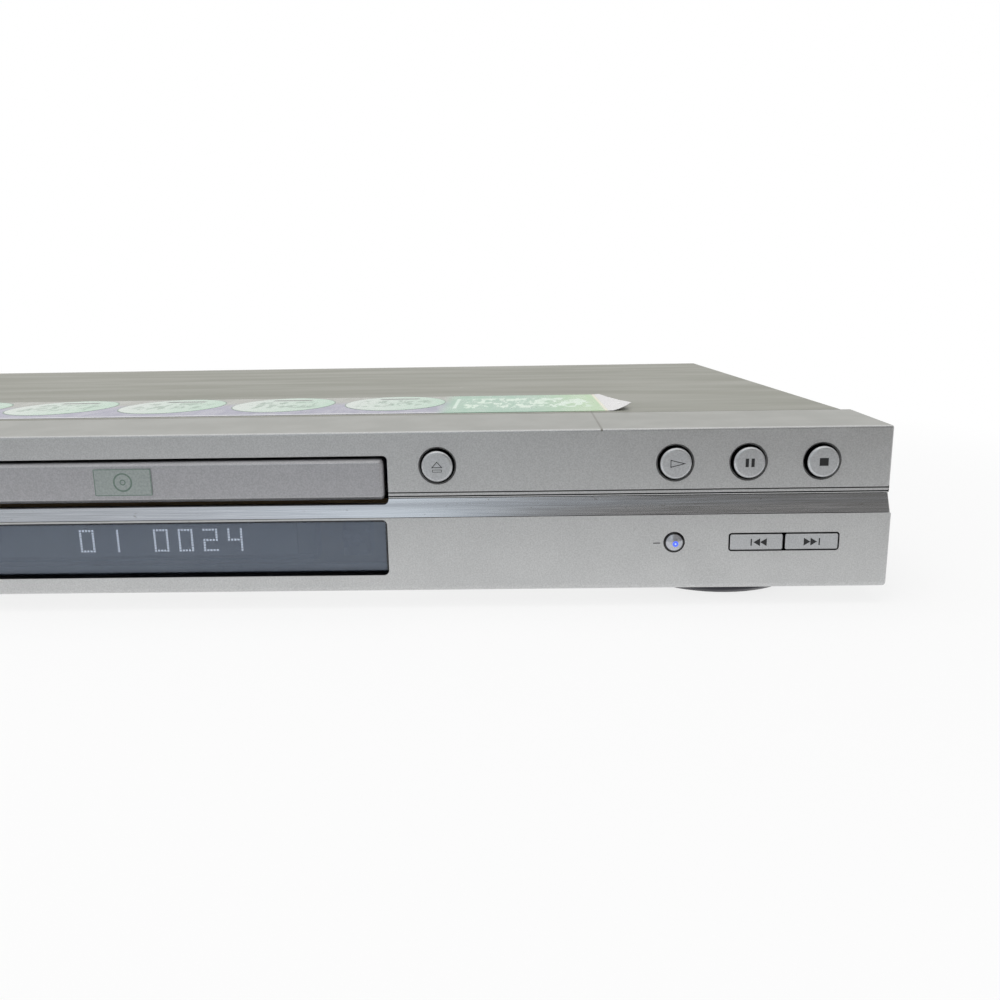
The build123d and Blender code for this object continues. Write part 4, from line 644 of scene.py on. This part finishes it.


# Lamp. A silvered dome with its rim painted black as painted shade, with a clear spot that shows
# the blue diode behind it. A short printed line leads to it from the left.
dome_plastic = finish("lamp_silvered_dome", tone(182, 184, 190), 0.20, metallic=0.6, coat=0.5)
two_tone(dome_plastic, grain(dome_plastic, 0.0008), tone(174, 176, 184), tone(192, 194, 198))
nodes, links = dome_plastic.node_tree.nodes, dome_plastic.node_tree.links
lamp_low, lamp_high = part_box("lamp_lens")
lamp_middle = (lamp_low + lamp_high) / 2
shifted = nodes.new("ShaderNodeMapping")
shifted.inputs["Location"].default_value = (-lamp_middle.x, 0, -lamp_middle.z)
shifted.inputs["Scale"].default_value = (1, 0, 1)
links.new(nodes.new("ShaderNodeTexCoord").outputs["Object"], shifted.inputs["Vector"])
radius = nodes.new("ShaderNodeVectorMath")
radius.operation = "LENGTH"
links.new(shifted.outputs["Vector"], radius.inputs[0])
# Painted shade: black on the dome's outer ring, where the gap around it lies.
stain(dome_plastic, change(nodes, links, radius.outputs["Value"], 0.00225, 0.00240, 0.0, 1.0), PAINTED_GAP_SHADE)
gloss(dome_plastic, grain(dome_plastic, 0.002), 0.16, 0.26)
rounded("lamp_lens", "lamp_dome", 0.1 * MM, dome_plastic, angle=40)
lamp_glow = finish("lamp_blue_glow", tone(60, 90, 230), 0.3)
two_tone(lamp_glow, grain(lamp_glow, 0.001), tone(50, 80, 224), tone(70, 98, 236))
lamp_glow.node_tree.nodes["Principled BSDF"].inputs["Emission Color"].default_value = tone(70, 92, 235)
lamp_glow.node_tree.nodes["Principled BSDF"].inputs["Emission Strength"].default_value = 0.9
frame["nodes"]["lamp_diode"].data.materials[0] = lamp_glow
lamp_core = finish("lamp_pale_core", tone(170, 190, 255), 0.3)
two_tone(lamp_core, grain(lamp_core, 0.001), tone(160, 182, 250), tone(180, 198, 255))
lamp_core.node_tree.nodes["Principled BSDF"].inputs["Emission Color"].default_value = tone(150, 176, 255)
lamp_core.node_tree.nodes["Principled BSDF"].inputs["Emission Strength"].default_value = 0.8
spot = (lamp_middle.x + 0.25 * MM, lamp_low.y, lamp_middle.z - 0.3 * MM)
ring = mark(28, spot, (1.6, 1.6), line=0.55, thickness=0.2 * MM)
print_on("lamp_spot", [ring], lamp_glow, "cabinet")
print_on("lamp_core", [mark(28, spot, (0.5, 0.5), thickness=0.2 * MM)], lamp_core, "cabinet")
leader = (150.0 * MM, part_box("front_panel")[0].y - 0.02 * MM, 18.5 * MM)
print_on("lamp_leader", [mark(4, leader, (2.0, 0.26))], sign_ink, "cabinet")


# Feet. Round feet of black plastic with a fine grain.
foot_plastic = finish("foot_black_plastic", tone(24, 24, 34), 0.38)
two_tone(foot_plastic, grain(foot_plastic, 0.006), tone(20, 20, 30), tone(30, 30, 42))
gloss(foot_plastic, grain(foot_plastic, 0.003), 0.30, 0.45)
relief(foot_plastic, grain(foot_plastic, 0.0006), 0.00002)
rounded("feet", "round_feet", 0.3 * MM, foot_plastic)


# Chassis pan, rear panel and screws. The pan is bare zinc-plated steel and closes the bottom; the
# rear panel is steel with grained black paint. Plated screws hold them together.
def steel(node, name, colour, size=0.004, stretch=(1, 1, 1), rough=(0.28, 0.42)):
    """Plated or rolled steel with a streaky sheen, on a node that keeps its CAD shape."""
    made = finish(name, tone(*colour), 0.35, metallic=1.0)
    streak = grain(made, size, stretch=stretch, detail=5.0)
    two_tone(made, streak, tone(*[value - 14 for value in colour]), tone(*colour))
    gloss(made, streak, *rough)
    frame["nodes"][node].data.materials[0] = made


def plastic(node, name, colour, rough=(0.35, 0.5), size=0.003):
    """Moulded plastic or lacquer with a fine even grain, on a node that keeps its CAD shape."""
    made = finish(name, tone(*colour), 0.42)
    cloud = grain(made, size * 4)
    two_tone(made, cloud, tone(*[max(value - 10, 4) for value in colour]), tone(*colour))
    gloss(made, cloud, *rough)
    relief(made, grain(made, size / 8, detail=2.0), 0.00001)
    frame["nodes"][node].data.materials[0] = made


steel("chassis_pan", "pan_zinc_steel", (190, 192, 190), 0.02)
plastic("rear_panel", "rear_black_paint", (58, 59, 62), size=0.0015)
steel("cover_screws", "screw_silver_plate", (200, 200, 200), 0.002)
steel("rear_screws", "screw_zinc_plate", (186, 184, 176), 0.002)
steel("chassis_screws", "screw_zinc_plate_low", (186, 184, 176), 0.002)


# Rear sockets. Nickel-plated phono barrels around coloured plastic, a black S-video socket and a
# black mains inlet.
steel("phono_shells", "barrel_nickel_plate", (214, 208, 196), 0.001, rough=(0.12, 0.22))
plastic("phono_inserts_white", "insert_white_plastic", (232, 231, 226))
plastic("phono_inserts_red", "insert_red_plastic", (188, 34, 34))
plastic("phono_inserts_yellow", "insert_yellow_plastic", (226, 190, 40))
plastic("phono_inserts_green", "insert_green_plastic", (40, 138, 70))
plastic("phono_inserts_blue", "insert_blue_plastic", (38, 70, 168))
plastic("phono_inserts_orange", "insert_orange_plastic", (224, 120, 36))
plastic("svideo_socket", "socket_black_plastic", (26, 26, 28))
plastic("mains_inlet", "inlet_black_plastic", (24, 24, 26))


# Loader. A black plastic frame screwed to the pan, with a plated bridge that carries the white
# clamper, the loading motor with its belt and white nylon gears, and the cam slider.
plastic("loader_frame", "loader_black_abs", (34, 34, 36))
steel("clamp_bridge", "bridge_zinc_steel", (184, 186, 188), 0.01)
plastic("clamper", "clamper_white_nylon", (220, 219, 212))
steel("loading_motor", "motor_can_steel", (180, 182, 186), 0.002, (1, 1, 0.1))
plastic("motor_pulley", "pulley_black_nylon", (30, 30, 32))
plastic("drive_belt", "belt_black_rubber", (22, 22, 22), (0.6, 0.8))
plastic("pulley_gear", "pulley_white_nylon", (226, 224, 214))
plastic("drive_gear", "gear_white_nylon", (222, 220, 210))
plastic("cam_slider", "cam_white_nylon", (224, 222, 212))


# Traverse. A plated steel frame with the spindle motor and its black turntable, two ground rods,
# and the cast pickup sled with its lens, which the feed screw moves.
steel("traverse_frame", "traverse_zinc_steel", (176, 178, 180), 0.01)
steel("spindle_motor", "spindle_can_steel", (170, 172, 176), 0.002, (1, 1, 0.1))
plastic("turntable", "turntable_black_nylon", (28, 28, 30))
steel("guide_rods", "rod_ground_steel", (210, 212, 214), 0.001, (1, 0.05, 1), (0.12, 0.2))
steel("feed_motor", "feed_can_steel", (180, 182, 186), 0.002, (1, 0.1, 1))
steel("feed_screw", "feed_screw_steel", (205, 207, 209), 0.001, (1, 8, 1), (0.15, 0.25))
steel("pickup_sled", "sled_cast_metal", (150, 152, 156), 0.001, rough=(0.4, 0.6))
lens_glass = finish("lens_blue_glass", tone(60, 70, 110), 0.05, coat=1.0)
two_tone(lens_glass, grain(lens_glass, 0.001), tone(52, 62, 104), tone(68, 78, 118))
frame["nodes"]["objective_lens"].data.materials[0] = lens_glass


# Electronics. A green main board with black chips, tan power and front boards with the transformer,
# capacitors, heat sink and key switches, joined by white ribbon cables.
plastic("main_board", "board_green_lacquer", (38, 92, 58), (0.2, 0.35))
plastic("main_board_chips", "chip_black_epoxy", (28, 28, 30))
plastic("power_board", "board_tan_paper", (150, 122, 76))
plastic("front_board", "front_board_tan_paper", (128, 104, 64))
plastic("tact_switches", "switch_black_plastic", (30, 30, 32))
plastic("transformer", "transformer_yellow_tape", (214, 190, 70))
plastic("capacitors", "capacitor_dark_sleeve", (30, 34, 62), (0.2, 0.35))
steel("heat_sink", "sink_raw_aluminium", (200, 202, 204), 0.002, (1, 1, 0.05))
plastic("ribbon_cables", "ribbon_white_film", (226, 226, 222))
